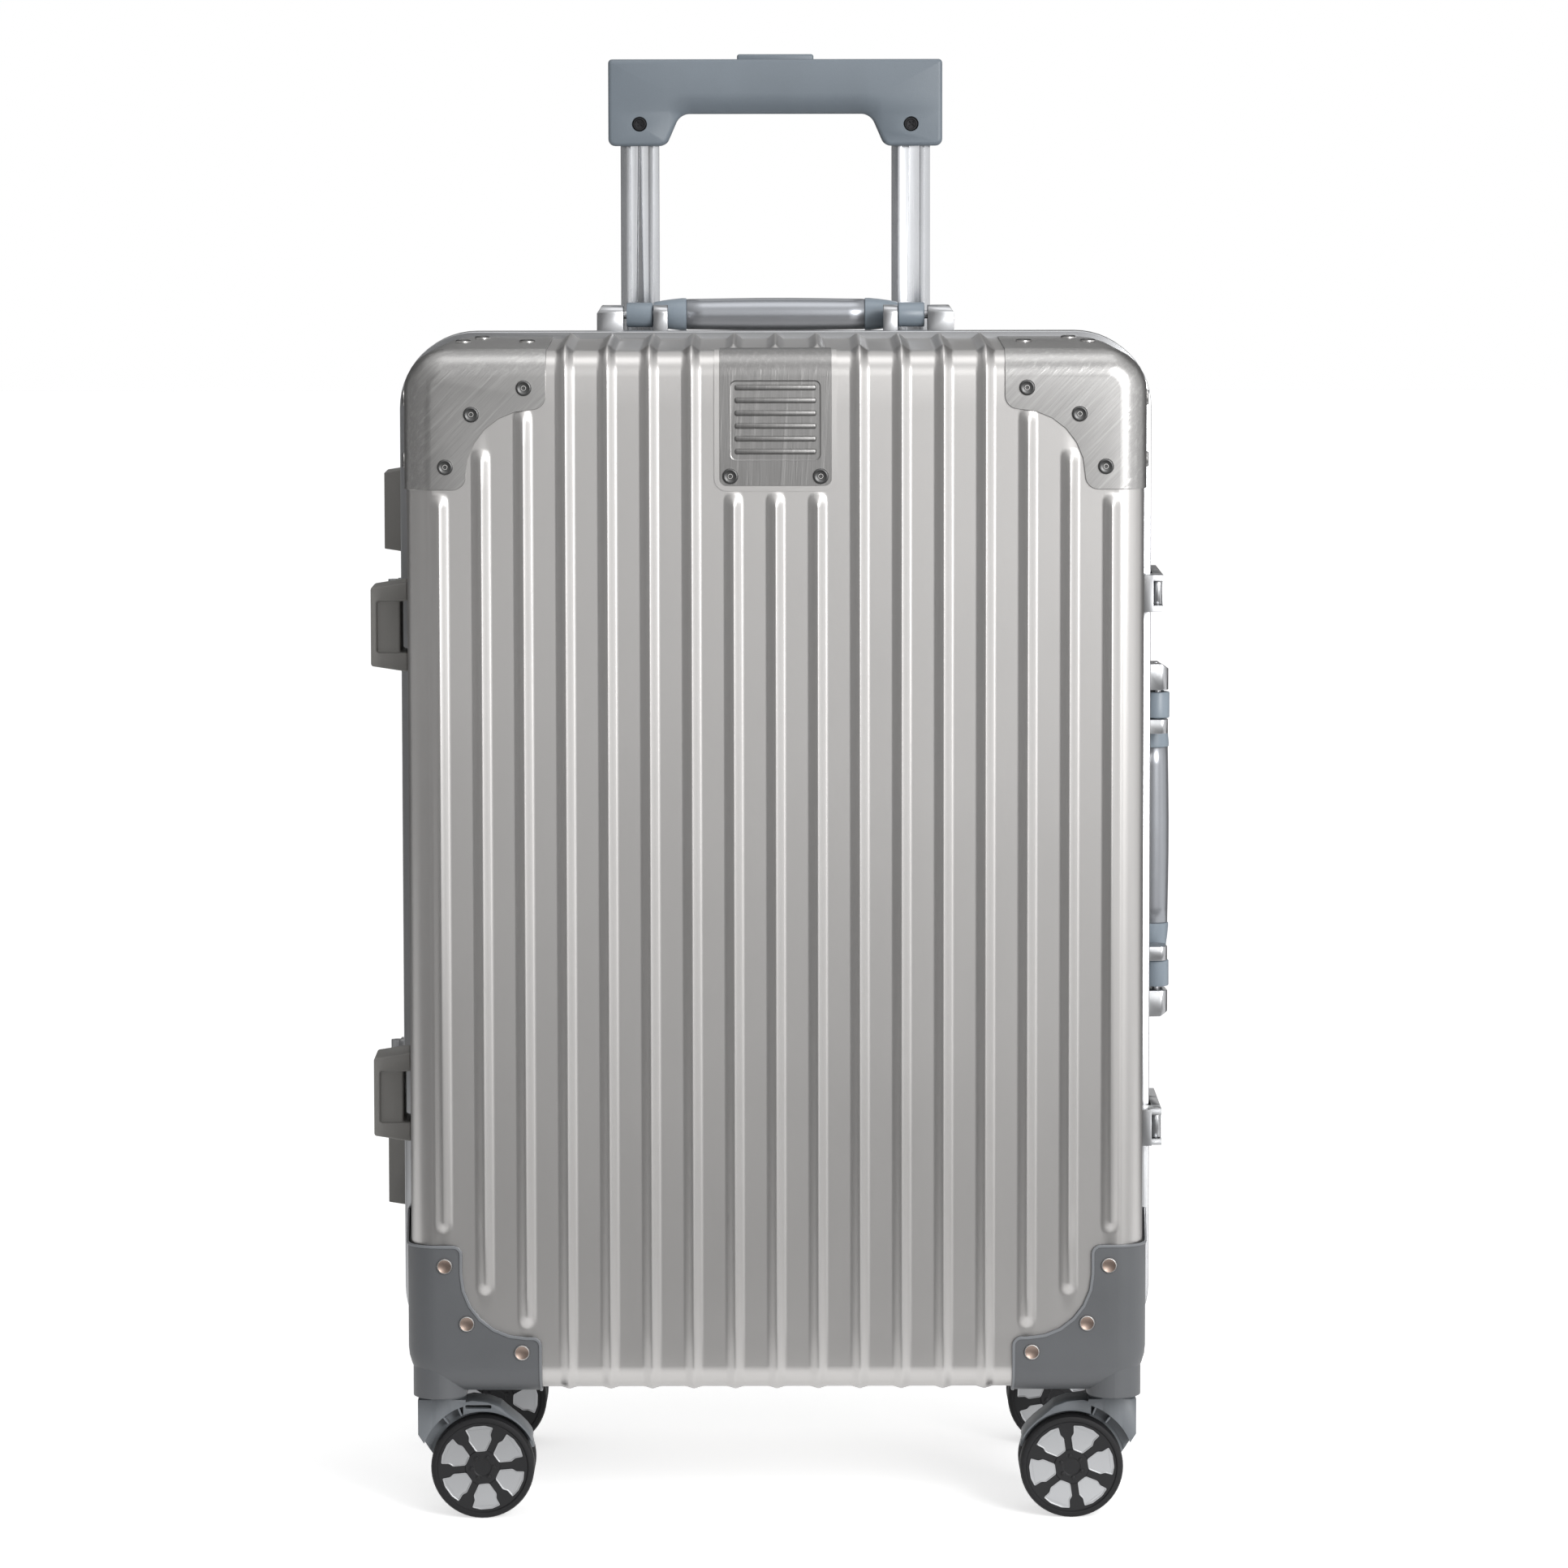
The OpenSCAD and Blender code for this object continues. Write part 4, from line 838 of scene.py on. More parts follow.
def block(low, high, round_=0.0, steps=2):
    """A box between two corners with rounded edges."""
    bm = bmesh.new()
    bmesh.ops.create_cube(bm, size=1)
    size = [b - a for a, b in zip(low, high)]
    move(bm, stretch(*size), shift(*[(a + b) / 2 for a, b in zip(low, high)]))
    if round_:
        rounded(bm, bm.edges, round_, steps)
    return bm


# ---------- Corner guards and badge ----------

def sheet_over_case(name, thickness, *materials):
    """A sheet of even thickness that lies over a front half of the case."""
    return thickened(placed(name, case_form(thickness), *materials), thickness - HAIR)


def top_guard_outline():
    """The right top guard, with a hollow in its lower inner side."""
    low, high = box("front_top_guards")
    c, s = case_size(), sizes()
    half = c["half"] - FLARE_X
    inner, foot, past = half - 0.067, low.z, 0.04
    hollow, tip = 0.0382, s.guard_round
    return [(inner, foot + hollow, tip), (inner + hollow, foot + hollow, hollow - tip - 1e-4),
            (inner + hollow, foot, tip), (half + past, foot, 0),
            (half + past, high.z + past, 0), (inner, high.z + past, 0)]


def lower_guard_outline():
    """The right lower guard, with a leg up the side of the case."""
    low, high = box("front_lower_guards")
    half = case_size()["half"] - FLARE_X
    leg, flat = half - 0.025, 0.092
    inner, past, tip = half - 0.063, 0.04, 0.0045
    return [(inner, low.z - past, 0), (half + past, low.z - past, 0),
            (half + past, high.z, 0), (leg, high.z, tip), (leg, flat, 0.0305),
            (inner, flat, tip)]


def inset_outline(bm, width):
    """Shrinks the outline of a prism along Y."""
    ends = [f for f in bm.faces if abs(f.normal.y) > 0.9]
    for end in ends:
        inset(bm, [end], width)
    bm.normal_update()
    bmesh.ops.delete(bm, geom=[f for f in bm.faces if f not in ends], context="FACES")
    bmesh.ops.bridge_loops(bm, edges=[e for e in bm.edges if e.is_boundary])
    return tidy(bm)


def finish_guards(made, rear, edge, *extra):
    """Turns a guard pair to its end of the case and rounds its edges."""
    bm = opened(made.data)
    for other in extra:
        added(bm, other)
    if rear:
        mirrored_back(bm)
    soft_edges(closed(made, bm), edge, 40)


def bosses():
    """The bulges under the case that the swivels turn in."""
    low = box("front_lower_guards")[0]
    radius = 0.013
    y0 = case_size()["face"] - sizes().lower_sheet + 0.001
    y1 = middle("front_right_fork").y + radius
    made = []
    for side in (-1, 1):
        bm = bmesh.new()
        base = square(bm)
        move(bm, stretch(2 * radius, y1 - y0), shift(side * CASTER_X, (y0 + y1) / 2, low.z))
        rounded(bm, base, radius - 1e-4, 8, "VERTICES")
        made.append(tidy(raised(bm, z=0.0155)))
    return made


BARS, BAR_HALF, BAR_TOP, BAR_PITCH = 6, 0.0193, 0.5481, 0.00608
PANEL = ((-0.0217, 0.5134), (0.0216, 0.5134), (0.0216, 0.5516), (-0.0217, 0.5516))


def badge_plate(front):
    """A brushed plate with an embossed panel of bars, left without a mark."""
    low, high = box("badge_plate")
    plate = sheet_over_case("badge_sheet", sizes().guard_sheet, "plate_upright")
    cut_by(plate, outlined(open_strip(low, high, 0, 0.0035), front, high.y), "INTERSECT")
    bm = opened(plate.data)
    face = low.y
    for number in range(BARS):
        z = BAR_TOP - BAR_PITCH * number
        added(bm, block((-BAR_HALF, face - 0.0006, z - 0.0013),
                        (BAR_HALF, face + 0.0006, z + 0.0013), 0.0008, 3))
    rim = outlined([(x, z, 0.003) for x, z in PANEL], face - 0.00035, face + 0.0005)
    ends = [f for f in rim.faces if f.normal.y < -0.9]
    inset(rim, ends, 0.0009)
    for f in ends:
        move(rim, shift(y=0.0005), verts=list(f.verts))
    soft_edges(closed(plate, added(bm, rim)), 0.0002, 40)
    hand_over(plate, "front_case", "top_guard", "badge_plate")
    badge_border(front, low, high)


def open_strip(low, high, wider, corner):
    """An upright strip that is open over the roof."""
    left, right, top = low.x - wider, high.x + wider, high.z + 0.04
    return [(left, low.z - wider, corner), (right, low.z - wider, corner),
            (right, top, 0), (left, top, 0)]


def badge_border(front, low, high):
    """The low border that the shell is pressed up into, round the badge."""
    made = sheet_over_case("badge_border", 0.0007, "shell_satin")
    outer = open_strip(low, high, 0.0026, 0.006)
    inner = open_strip(low, high, 0.0002, 0.0035)
    cut_by(made, outlined(outer, front, high.y), "INTERSECT")
    cut_by(made, outlined(inner, front - 0.01, high.y + 0.01))
    hand_over(soft_edges(made, 0.00045, 40, 3), "front_case", "shell")


class SUITCASE_OT_guards(bpy.types.Operator):
    """Fold the four pairs of corner guards and the badge plate"""
    bl_idname = "suitcase.guards"
    bl_label = "Corner Guards"

    def execute(self, context):
        s, c = sizes(), case_size()
        front, back = c["face"] - 0.05, c["back"] - HAIR
        for rear, end in ((False, "front"), (True, "rear")):
            top = sheet_over_case(end + "_top_guard_plates", s.guard_sheet, "plate_diagonal")
            cut_by(top, doubled(outlined(top_guard_outline(), front, back)), "INTERSECT")
            finish_guards(top, rear, 0.00022)
            hand_over(top, end + "_case", "top_guard", end + "_top_guards")

            low = sheet_over_case(end + "_lower_guard_shoes", s.lower_sheet, "guard_moulded",
                                  "guard_lip_painted_highlight")
            lip = sheet_over_case("lip", s.lower_sheet + 0.0006)
            for made in (low, lip):
                cut_by(made, doubled(outlined(lower_guard_outline(), front, back)), "INTERSECT")
            inner = inset_outline(outlined(lower_guard_outline(), front, back), s.lip_width)
            # The lip's faces take the second material, whose lighter tint paints a highlight along the rim.
            rim = painted(opened(cut_by(lip, doubled(inner)).data), 1)
            bpy.data.objects.remove(lip)
            finish_guards(low, rear, 0.0004, rim, *bosses())
            hand_over(low, end + "_case", "lower_guard", end + "_lower_guards")
        badge_plate(front)
        return {"FINISHED"}


# ---------- Rivets ----------

HEAD = ((3.8, 0.0), (3.8, 0.55), (3.45, 0.95), (2.95, 1.1), (2.55, 0.8), (1.45, 0.72),
        (1.2, 0.95), (0.95, 0.95), (0.8, 0.35), (0.0, 0.3))
COPPER_HEAD = ((3.8, 0.0), (3.8, 0.55), (3.5, 0.95), (3.25, 1.0), (3.05, 0.85), (0.0, 0.8))
# Outline of a rivet's head and the material of each band
HOLLOW, COPPER = (HEAD, (1, 0, 0, 0, 0, 0, 1, 0, 0)), (COPPER_HEAD, (2, 1, 1, 2, 2))


def rivet_spots(side, rear):
    """Place, facing and kind of the rivets on one side of a half, as a front half."""
    c, s = case_size(), sizes()
    half = c["half"] - FLARE_X
    top, low, run = c["high"] - FLARE_Z, c["low"] + FLARE_Z, c["run"]
    lean_x, lean_z = wall_leans()
    to_front, to_roof = turn(90, "X"), turn(lean_z, "X")
    to_side = turn(-side * lean_x, "Z") @ turn(90 * side, "Y")
    sheet, thick = s.guard_sheet + HAIR, s.lower_sheet + HAIR
    depth = -c["face"] - s.edge_round
    for x, z in ((19, 55), (31.5, 30), (56.5, 17.5)):
        yield (half - x * MM, c["face"] - sheet, top - z * MM), to_front, HOLLOW
    for x, z in ((16.5, 61), (27, 33), (53.5, 19)):
        yield (half - x * MM, c["face"] - thick, low + z * MM), to_front, COPPER
    for x, y in ((25, 52), (56, 52), (33, 22)):
        z = top + FLARE_Z * (depth - y * MM) / run + sheet
        yield (half - x * MM, -y * MM, z), to_roof, HOLLOW
    for z, y in ((25, 52), (55, 52)):
        x = half + FLARE_X * (depth - y * MM) / run + sheet
        yield (x, -y * MM, top - z * MM), to_side, HOLLOW
    if rear:
        yield (0.028, -0.016, c["high"] + HAIR), to_roof, HOLLOW
    else:
        yield (0.0215, c["face"] - sheet, top - 0.0595), to_front, HOLLOW


class SUITCASE_OT_rivets(bpy.types.Operator):
    """Set the rivets of the guards, the badge and the rear roof"""
    bl_idname = "suitcase.rivets"
    bl_label = "Rivets"

    def execute(self, context):
        wide = sizes().rivet_width / 0.0076
        for rear, end in ((False, "front"), (True, "rear")):
            bm = bmesh.new()
            for side in (-1, 1):
                for (x, y, z), facing, (head, bands) in rivet_spots(side, rear):
                    added(bm, spun([(r * wide, h) for r, h in head], 20, (side * x, y, z),
                                   facing, bands))
            if rear:
                mirrored_back(bm)
            made = smooth(placed(end + "_rivet_heads", bm, "rivet_dark", "rivet_ring",
                                 "rivet_copper"), 40)
            hand_over(made, end + "_case", "rivets", end + "_rivets")
        return {"FINISHED"}


# ---------- Casters ----------

# Outline of a wheel, the material of each band, and the outline of a field between spokes
TYRE = ((3.1, 0.3), (22.5, 0.0), (24.3, 0.5), (25.0, 1.9), (25.0, 9.1), (24.4, 10.5),
        (23.3, 11.0), (22.2, 10.9), (21.6, 10.2), (8.6, 10.05), (8.2, 10.5), (4.5, 10.6),
        (3.9, 10.2), (0.0, 10.2))
TYRE_BANDS = (1, 0, 0, 0, 0, 0, 0, 0, 1, 1, 1, 1, 1)
INLAY = ((8.0, 8), (8.4, 17.5), (14.4, 22.8), (16.4, 18.6), (20.2, 19.6), (20.6, 8), (20.6, -8),
         (20.2, -19.6), (16.4, -18.6), (14.4, -22.8), (8.4, -17.5), (8.0, -8))
# How far each wheel's spokes have turned, in degrees
SPOKE_TURNS = {"front_left_outer": 5, "front_right_outer": 38, "front_left_inner": 20,
               "front_right_inner": 52, "rear_left_outer": 12, "rear_right_outer": 44,
               "rear_left_inner": 28, "rear_right_inner": 9}


def polar(radius, degrees):
    """A place in metres, from a radius in mm and an angle."""
    angle = math.radians(degrees)
    return radius * MM * math.cos(angle), radius * MM * math.sin(angle)


def inlay(degrees):
    """One silver field between two spokes, a little hollow in the middle."""
    bm = bmesh.new()
    bm.faces.new([bm.verts.new((*polar(r, a), 0)) for r, a in INLAY])
    rounded(bm, bm.verts, 0.0005, 2, "VERTICES")
    raised(bm, z=0.0006)
    face = [f for f in bm.faces if f.calc_center_median().z > 0.0005]
    for width, depth in ((0.0003, 0), (0.0003, 0.0002)):
        inset(bm, face, width)
        move(bm, shift(z=-depth), verts=list(face[0].verts))
    return move(painted(tidy(bm), 2), shift(z=0.01005), turn(degrees, "Z"))


class SUITCASE_OT_wheels(bpy.types.Operator):
    """Turn the eight wheels with their silver inlays"""
    bl_idname = "suitcase.wheels"
    bl_label = "Wheels"

    def execute(self, context):
        for name, angle in SPOKE_TURNS.items():
            node = name + "_wheel"
            low, high = box(node)
            centre = (low + high) / 2
            outward = -1 if (name.startswith("front")) == name.endswith("outer") else 1
            bm = spun(TYRE, 56, bands=TYRE_BANDS)
            for k in range(6):
                added(bm, inlay(60 * k + 30))
                stud = painted(spun([(1.0, 0.0), (0.9, 0.5), (0.0, 0.8)], 8), 1)
                added(bm, move(stud, shift(*polar(5.4, 60 * k), 0.01055)))
            back = low.y if outward > 0 else high.y
            move(bm, turn(angle, "Z"), turn(-90 * outward, "X"), shift(centre.x, back, centre.z))
            made = smooth(placed(name + "_rolling_wheel", bm, "tyre_rubber", "wheel_hub",
                                 "wheel_inlay"), 30)
            hand_over(made, bodies()[node], "wheel", node)
        return {"FINISHED"}


# Outer edge of a fender about the wheel, from the post to its tip
FENDER = ((32.2, 105), (32.3, 98), (32.3, 91), (32.0, 84), (31.2, 79), (29.6, 73), (28.4, 67),
          (27.6, 60), (27.3, 50), (27.3, 40), (27.3, 30), (27.3, 20), (27.3, 10))


def drum(radius, y0, y1, at):
    """A cylinder along Y."""
    bm = bmesh.new()
    bmesh.ops.create_cone(bm, cap_ends=True, segments=72, radius1=radius, radius2=radius,
                          depth=y1 - y0)
    return move(bm, turn(90, "X"), shift(at.x, at.y + (y0 + y1) / 2, at.z))


# Places about the wheel's centre, in a fork that reaches towards +X
FORK_SLOT = ((-0.0085, -0.02, 0.0279), (0.0042, 0.02, 0.0297))
FORK_WEB, WEB_ANGLES = ((0.0262, 0.0044, -0.0005), (0.0312, 0.0101, 0.0005)), (113, 129)
RECESS, RECESS_END, FORK_MIDDLE = 0.0305, -0.0095, 0.0046


def caster_fork(name):
    """A fork with a slot in its fender, a recess on each side and two webs in it."""
    node = name + "_fork"
    wheel = middle(name + "_outer_wheel")
    centre = Vector((wheel.x, middle(node).y, wheel.z))
    inward = -1 if centre.x > 0 else 1
    made = placed(name + "_caster_fork", copied(node), "fork_moulded")
    slot = block(*FORK_SLOT, 0.0006)
    cut_by(made, move(slot, stretch(x=inward), shift(*centre)))
    arc = [polar(radius, angle) for radius, angle in FENDER]
    corner = [(0.045, arc[-1][1]), (0.045, 0.05), (arc[0][0], 0.05)]
    cut_by(made, outlined([(centre.x + inward * x, centre.z + z, 0)
                           for x, z in (*arc, *corner)], -0.2, 0.2))
    extra = bmesh.new()
    for face in (-1, 1):
        step = drum(RECESS, FORK_MIDDLE, 0.02, centre)
        bmesh.ops.bisect_plane(step, geom=[*step.verts, *step.edges, *step.faces],
                               dist=1e-6, plane_co=centre + Vector((RECESS_END * inward, 0, 0)),
                               plane_no=(inward, 0, 0), clear_outer=True)
        bmesh.ops.holes_fill(step, edges=[e for e in step.edges if e.is_boundary], sides=0)
        move(step, shift(y=-centre.y), stretch(y=face), shift(y=centre.y))
        cut_by(made, tidy(step))
        for angle in WEB_ANGLES:
            web = block(*FORK_WEB, 0.0002, 1)
            added(extra, move(web, turn(-angle, "Y"), stretch(x=inward, y=face), shift(*centre)))
    bm = added(opened(made.data), extra)
    bmesh.ops.recalc_face_normals(bm, faces=bm.faces)
    soft_edges(closed(made, bm), 0.0005, 38)
    hand_over(made, bodies()[node], "fork", node)


class SUITCASE_OT_forks(bpy.types.Operator):
    """Mould the four caster forks, with the slot and the webs of their fenders"""
    bl_idname = "suitcase.forks"
    bl_label = "Caster Forks"

    def execute(self, context):
        for end in ("front", "rear"):
            for side in ("left", "right"):
                caster_fork(end + "_" + side)
        return {"FINISHED"}


# ---------- Trolley ----------

def trolley_grip():
    """A bar with two widening legs, thinner along its lower edge."""
    low, high = box("trolley_grip")
    half, bar = high.x, high.z - 0.0275
    outline = [(-half, low.z, 0.0035), (-half + 0.029, low.z, 0.003),
               (-half + 0.036, bar, 0.0045), (half - 0.036, bar, 0.0045),
               (half - 0.029, low.z, 0.003), (half, low.z, 0.0035),
               (half, high.z, 0.002), (-half, high.z, 0.002)]
    bm = outlined(outline, low.y, high.y, 5)
    rims = [e for e in bm.edges if len({round(v.co.y, 5) for v in e.verts}) == 1]
    rounded(bm, rims, 0.0028, 4, clamped=True)
    swell = 0.0105
    for share in (0.08, 0.2, 0.35, 0.5, 0.65, 0.8, 1.0):
        cut_across(bm, "Z", bar + share * swell)
    for side in (-1, 1):
        for step in (0.030, 0.033, 0.036, 0.039, 0.042):
            cut_across(bm, "X", side * (half - step))
    centre = (low.y + high.y) / 2
    for v in bm.verts:
        under = min(1.0, max(0.0, (bar + swell - v.co.z) / swell))
        between = min(1.0, max(0.0, (half - 0.028 - abs(v.co.x)) / 0.014))
        v.co.y -= (v.co.y - centre) * 0.6 * under ** 2 * between
    made = placed("trolley_grip_bar", bm, "grip_moulded")
    button, depth = middle("trolley_button"), 0.0148
    cut_by(made, block((-0.0197, button.y - depth / 2, high.z - 0.012),
                       (0.0197, button.y + depth / 2, high.z + 0.01), 0.001))
    for side in (-1, 1):
        at = (side * TUBE_X, low.y, middle("grip_screws").z)
        cut_by(made, spun([(0, -4), (3.8, -4), (3.8, 2.2), (0, 2.2)], 28, at, turn(-90, "X")))
    soft_edges(made, 0.0004, 35)
    hand_over(made, "trolley_top", "handle_plastic", "trolley_grip")


def trolley_button():
    """The push button on its cross bar."""
    low, high = box("trolley_button")
    top = block((-0.01925, low.y, low.z), (0.01925, high.y, high.z), 0.0012, 3)
    yoke = block((low.x, low.y + 0.0035, low.z), (high.x, high.y - 0.0035, low.z + 0.005), 0.0006)
    made = placed("trolley_push_button", added(top, yoke), "grip_moulded")
    soft_edges(made, 0.0003, 50)
    hand_over(made, "button", "handle_plastic", "trolley_button")


def grip_screws():
    """Cross recessed screws in rings."""
    y, z = box("grip_screws")[0].y, middle("grip_screws").z
    bm = bmesh.new()
    for side in (-1, 1):
        added(bm, spun([(0, 6), (1.7, 6), (1.7, 1.4), (3.5, 1.4), (3.5, 0.3), (3.1, 0),
                        (2.5, 0), (2.2, 0.3), (0, 0.4)], 28, (side * TUBE_X, y, z),
                       turn(-90, "X")))
    made = placed("grip_cross_screws", bm, "screw_black")
    for side in (-1, 1):
        for a in (45, 135):
            slot = block((-0.0019, -0.001, -0.0004), (0.0019, 0.0014, 0.0004))
            cut_by(made, move(slot, turn(a, "Y"), shift(side * TUBE_X, y, z)))
    hand_over(smooth(made, 35), "trolley_top", "rivets", "grip_screws")


def inner_tubes():
    """The inner tubes with a shallow channel down their front and back."""
    bm = copied("trolley_inner_tubes")
    low, high = box("trolley_inner_tubes")
    for side in (-1, 1):
        for offset in (-0.0046, 0.0046):
            cut_across(bm, "X", side * TUBE_X + offset)
    strips = [f for f in bm.faces
              if abs(f.normal.y) > 0.95 and f.calc_area() > 0.001
              and min(abs(f.calc_center_median().y - low.y),
                      abs(f.calc_center_median().y - high.y)) < 0.0003
              and abs(abs(f.calc_center_median().x) - TUBE_X) < 0.002]
    for f in strips:
        bmesh.ops.inset_region(bm, faces=[f], thickness=0.0004, depth=-0.0005)
    made = soft_edges(placed("trolley_grooved_tubes", bm, "tube_anodised"), 0.0002, 25)
    hand_over(made, "trolley_top", "tubes", "trolley_inner_tubes")


class SUITCASE_OT_trolley(bpy.types.Operator):
    """Mould the trolley grip, its button and screws, and groove the inner tubes"""
    bl_idname = "suitcase.trolley"
    bl_label = "Trolley Handle"

    def execute(self, context):
        trolley_grip()
        trolley_button()
        grip_screws()
        inner_tubes()
        return {"FINISHED"}


# ---------- Carry handles ----------

GRIP_REACH = 0.02                # Distance from a handle's pins to its grip's axis


def on_roof(bm):
    """Moves a handle that lies along X at the origin to its pins in the roof."""
    return move(bm, turn(-wall_leans()[1], "X"), shift(*joint_place("top_handle_swing")))


def on_side(bm):
    """Moves the same handle to its pins in the side wall."""
    return move(bm, turn(90, "Y"), turn(wall_leans()[0], "Z"),
                shift(*joint_place("side_handle_swing")))


def joint_place(name):
    """The point that a joint turns about."""
    return next(Vector(j["pos_m"]) for j in frame["joints"] if j["name"] == name)


def carry_grip():
    """The satin tube that the hand holds, a little fuller in the middle."""
    profile = [(4.85, -44.45), (7.3, -44.45), (7.6, -44.2), (7.75, -36), (7.95, -24),
               (8.15, -8), (8.15, 8), (7.95, 24), (7.75, 36), (7.6, 44.2),
               (7.3, 44.45), (4.85, 44.45), (4.85, -44.45)]
    return move(spun(profile, 32), turn(90, "Y"), shift(y=GRIP_REACH))


def carry_arms():
    """The core, the sleeves, and the arms that turn on the pins."""
    bm = bmesh.new()
    core = spun([(0, -68.5), (4.6, -68.5), (4.6, 68.5), (0, 68.5)], 20)
    added(bm, move(core, turn(90, "Y"), shift(y=GRIP_REACH)))
    sleeve = ((4.7, 44.5), (7.7, 44.5), (8.05, 44.8), (8.1, 46.5), (7.6, 51.5),
              (6.9, 56.5), (6.2, 60.4), (5.8, 60.9), (4.7, 61))
    barrel = ((2.1, 60.9), (5.6, 60.9), (6.05, 61.4), (6.1, 73.3), (5.7, 73.9),
              (2.1, 73.9), (2.1, 60.9))
    cap = ((0, 60.9), (4.3, 60.9), (5.0, 61.6), (5.0, 73.2), (4.3, 73.9), (0, 73.9))
    for side in (-1, 1):
        arm = block((0.0608, -0.001, -0.0048), (0.0739, 0.0205, 0.0048), 0.0012, 3)
        added(bm, move(arm, stretch(x=side)))
        for profile, steps, y in ((sleeve, 28, GRIP_REACH), (barrel, 28, 0),
                                  (cap, 24, GRIP_REACH)):
            added(bm, move(spun(profile, steps), turn(90 * side, "Y"), shift(y=y)))
    bmesh.ops.recalc_face_normals(bm, faces=bm.faces)
    return bm


class SUITCASE_OT_handles(bpy.types.Operator):
    """Turn the two carry handles: grips, tapered sleeves, arms and barrels"""
    bl_idname = "suitcase.handles"
    bl_label = "Carry Handles"

    def execute(self, context):
        for name, body, seat_at in (("top", "top_handle", on_roof),
                                    ("side", "side_handle", on_side)):
            grip = smooth(placed(name + "_handle_tube", seat_at(carry_grip()), "grip_satin"), 50)
            hand_over(grip, body, "handle_grip", name + "_handle_grip")
            arms = placed(name + "_handle_joints", seat_at(carry_arms()), "sleeve_moulded",
                          "fittings_satin")
            hand_over(smooth(arms, 40), body, "handle_plastic", name + "_handle_arms")
        return {"FINISHED"}


# ---------- Number dials ----------

def raised_figure(figure):
    """A raised figure, flat on the ground, made a mesh before it is placed."""
    text = bpy.data.curves.new("figure", "FONT")
    text.body, text.size, text.extrude = figure, 0.0026, 0.00004
    text.align_x, text.align_y, text.resolution_u = "CENTER", "CENTER", 2
    made = shown("figure", text)
    mesh = evaluated(made)
    bm = opened(mesh)
    bpy.data.objects.remove(made)
    bpy.data.meshes.remove(mesh)
    return bm


class SUITCASE_OT_dials(bpy.types.Operator):
    """Turn the six knurled number wheels, with plain figures from 0 to 9"""
    bl_idname = "suitcase.dials"
    bl_label = "Number Dials"

    def execute(self, context):
        digits = [raised_figure(str(n)) for n in range(10)]
        for level in ("lower", "upper"):
            for k in (1, 2, 3):
                node = level + "_dial_" + str(k)
                low, high = box(node)
                centre, half, r = (low + high) / 2, (high.y - low.y) / 2, (high.x - low.x) / 2
                h, w = half / MM, r / MM
                bm = spun([(1.25, -h), (w - 0.9, -h), (w - 0.3, 0.4 - h), (w - 0.3, h - 0.4),
                           (w - 0.9, h), (1.25, h), (1.25, -h)], 40)
                for n in range(10):
                    tooth = block((-0.00022, r - 0.0005, -half + 0.0003),
                                  (0.00022, r, half - 0.0003), 0.0001, 1)
                    added(bm, move(tooth, turn(36 * n + 18, "Z")))
                    figure = painted(digits[n].copy(), 1)
                    added(bm, move(figure, shift(z=r - 0.0003), turn(-90, "X"), turn(36 * n, "Z")))
                move(bm, turn(90, "X"), turn(36 * k, "Y"), shift(*centre))
                made = smooth(placed(node + "_number_wheel", bm, "dial_gloss", "dial_figures"), 35)
                hand_over(made, bodies()[node], "dials", node)
        for bm in digits:
            bm.free()
        return {"FINISHED"}


# ---------- Inside ----------

RIPPLES = ((34, 21), (57, 43), (90, 71))  # Waves along and across the lining


def rippled(bm, depth):
    """Lets cloth lie a little unevenly, along its own normals."""
    bm.normal_update()
    steps = []
    for v in bm.verts:
        a, b = v.co.x, v.co.z
        lift = sum(math.sin(a * p + b * q) * math.cos(b * p - a * q) / (i + 1)
                   for i, (p, q) in enumerate(RIPPLES))
        steps.append(v.normal * lift * depth)
    for v, step in zip(bm.verts, steps):
        v.co += step


def lining(end):
    """A formed tray of lined board, a little uneven."""
    node, rear = end + "_lining", end == "rear"
    bm = case_form(-(sizes().shell_wall + 0.0005))
    if rear:
        back = box(node)[1].y
        move(bm, shift(y=-back - min(v.co.y for v in bm.verts)),
             verts=[v for v in bm.verts if v.co.y < -0.09])
    for x in range(-8, 9):
        cut_across(bm, "X", x * 0.019)
    for z in range(5, 29):
        cut_across(bm, "Z", z * 0.02)
    for y in (-0.02, -0.035, -0.05, -0.065, -0.08, -0.095):
        cut_across(bm, "Y", y)
    keep = {v: v.co.copy() for v in bm.verts if v.is_boundary}
    rippled(bm, -0.0002)
    for v, at in keep.items():
        v.co = at
    if rear:
        mirrored_back(bm)
    made = placed(node + "_cloth", bm, "lining_weave")
    smooth(thickened(made, 0.0011), 60)
    hand_over(made, end + "_case", "lining", node)


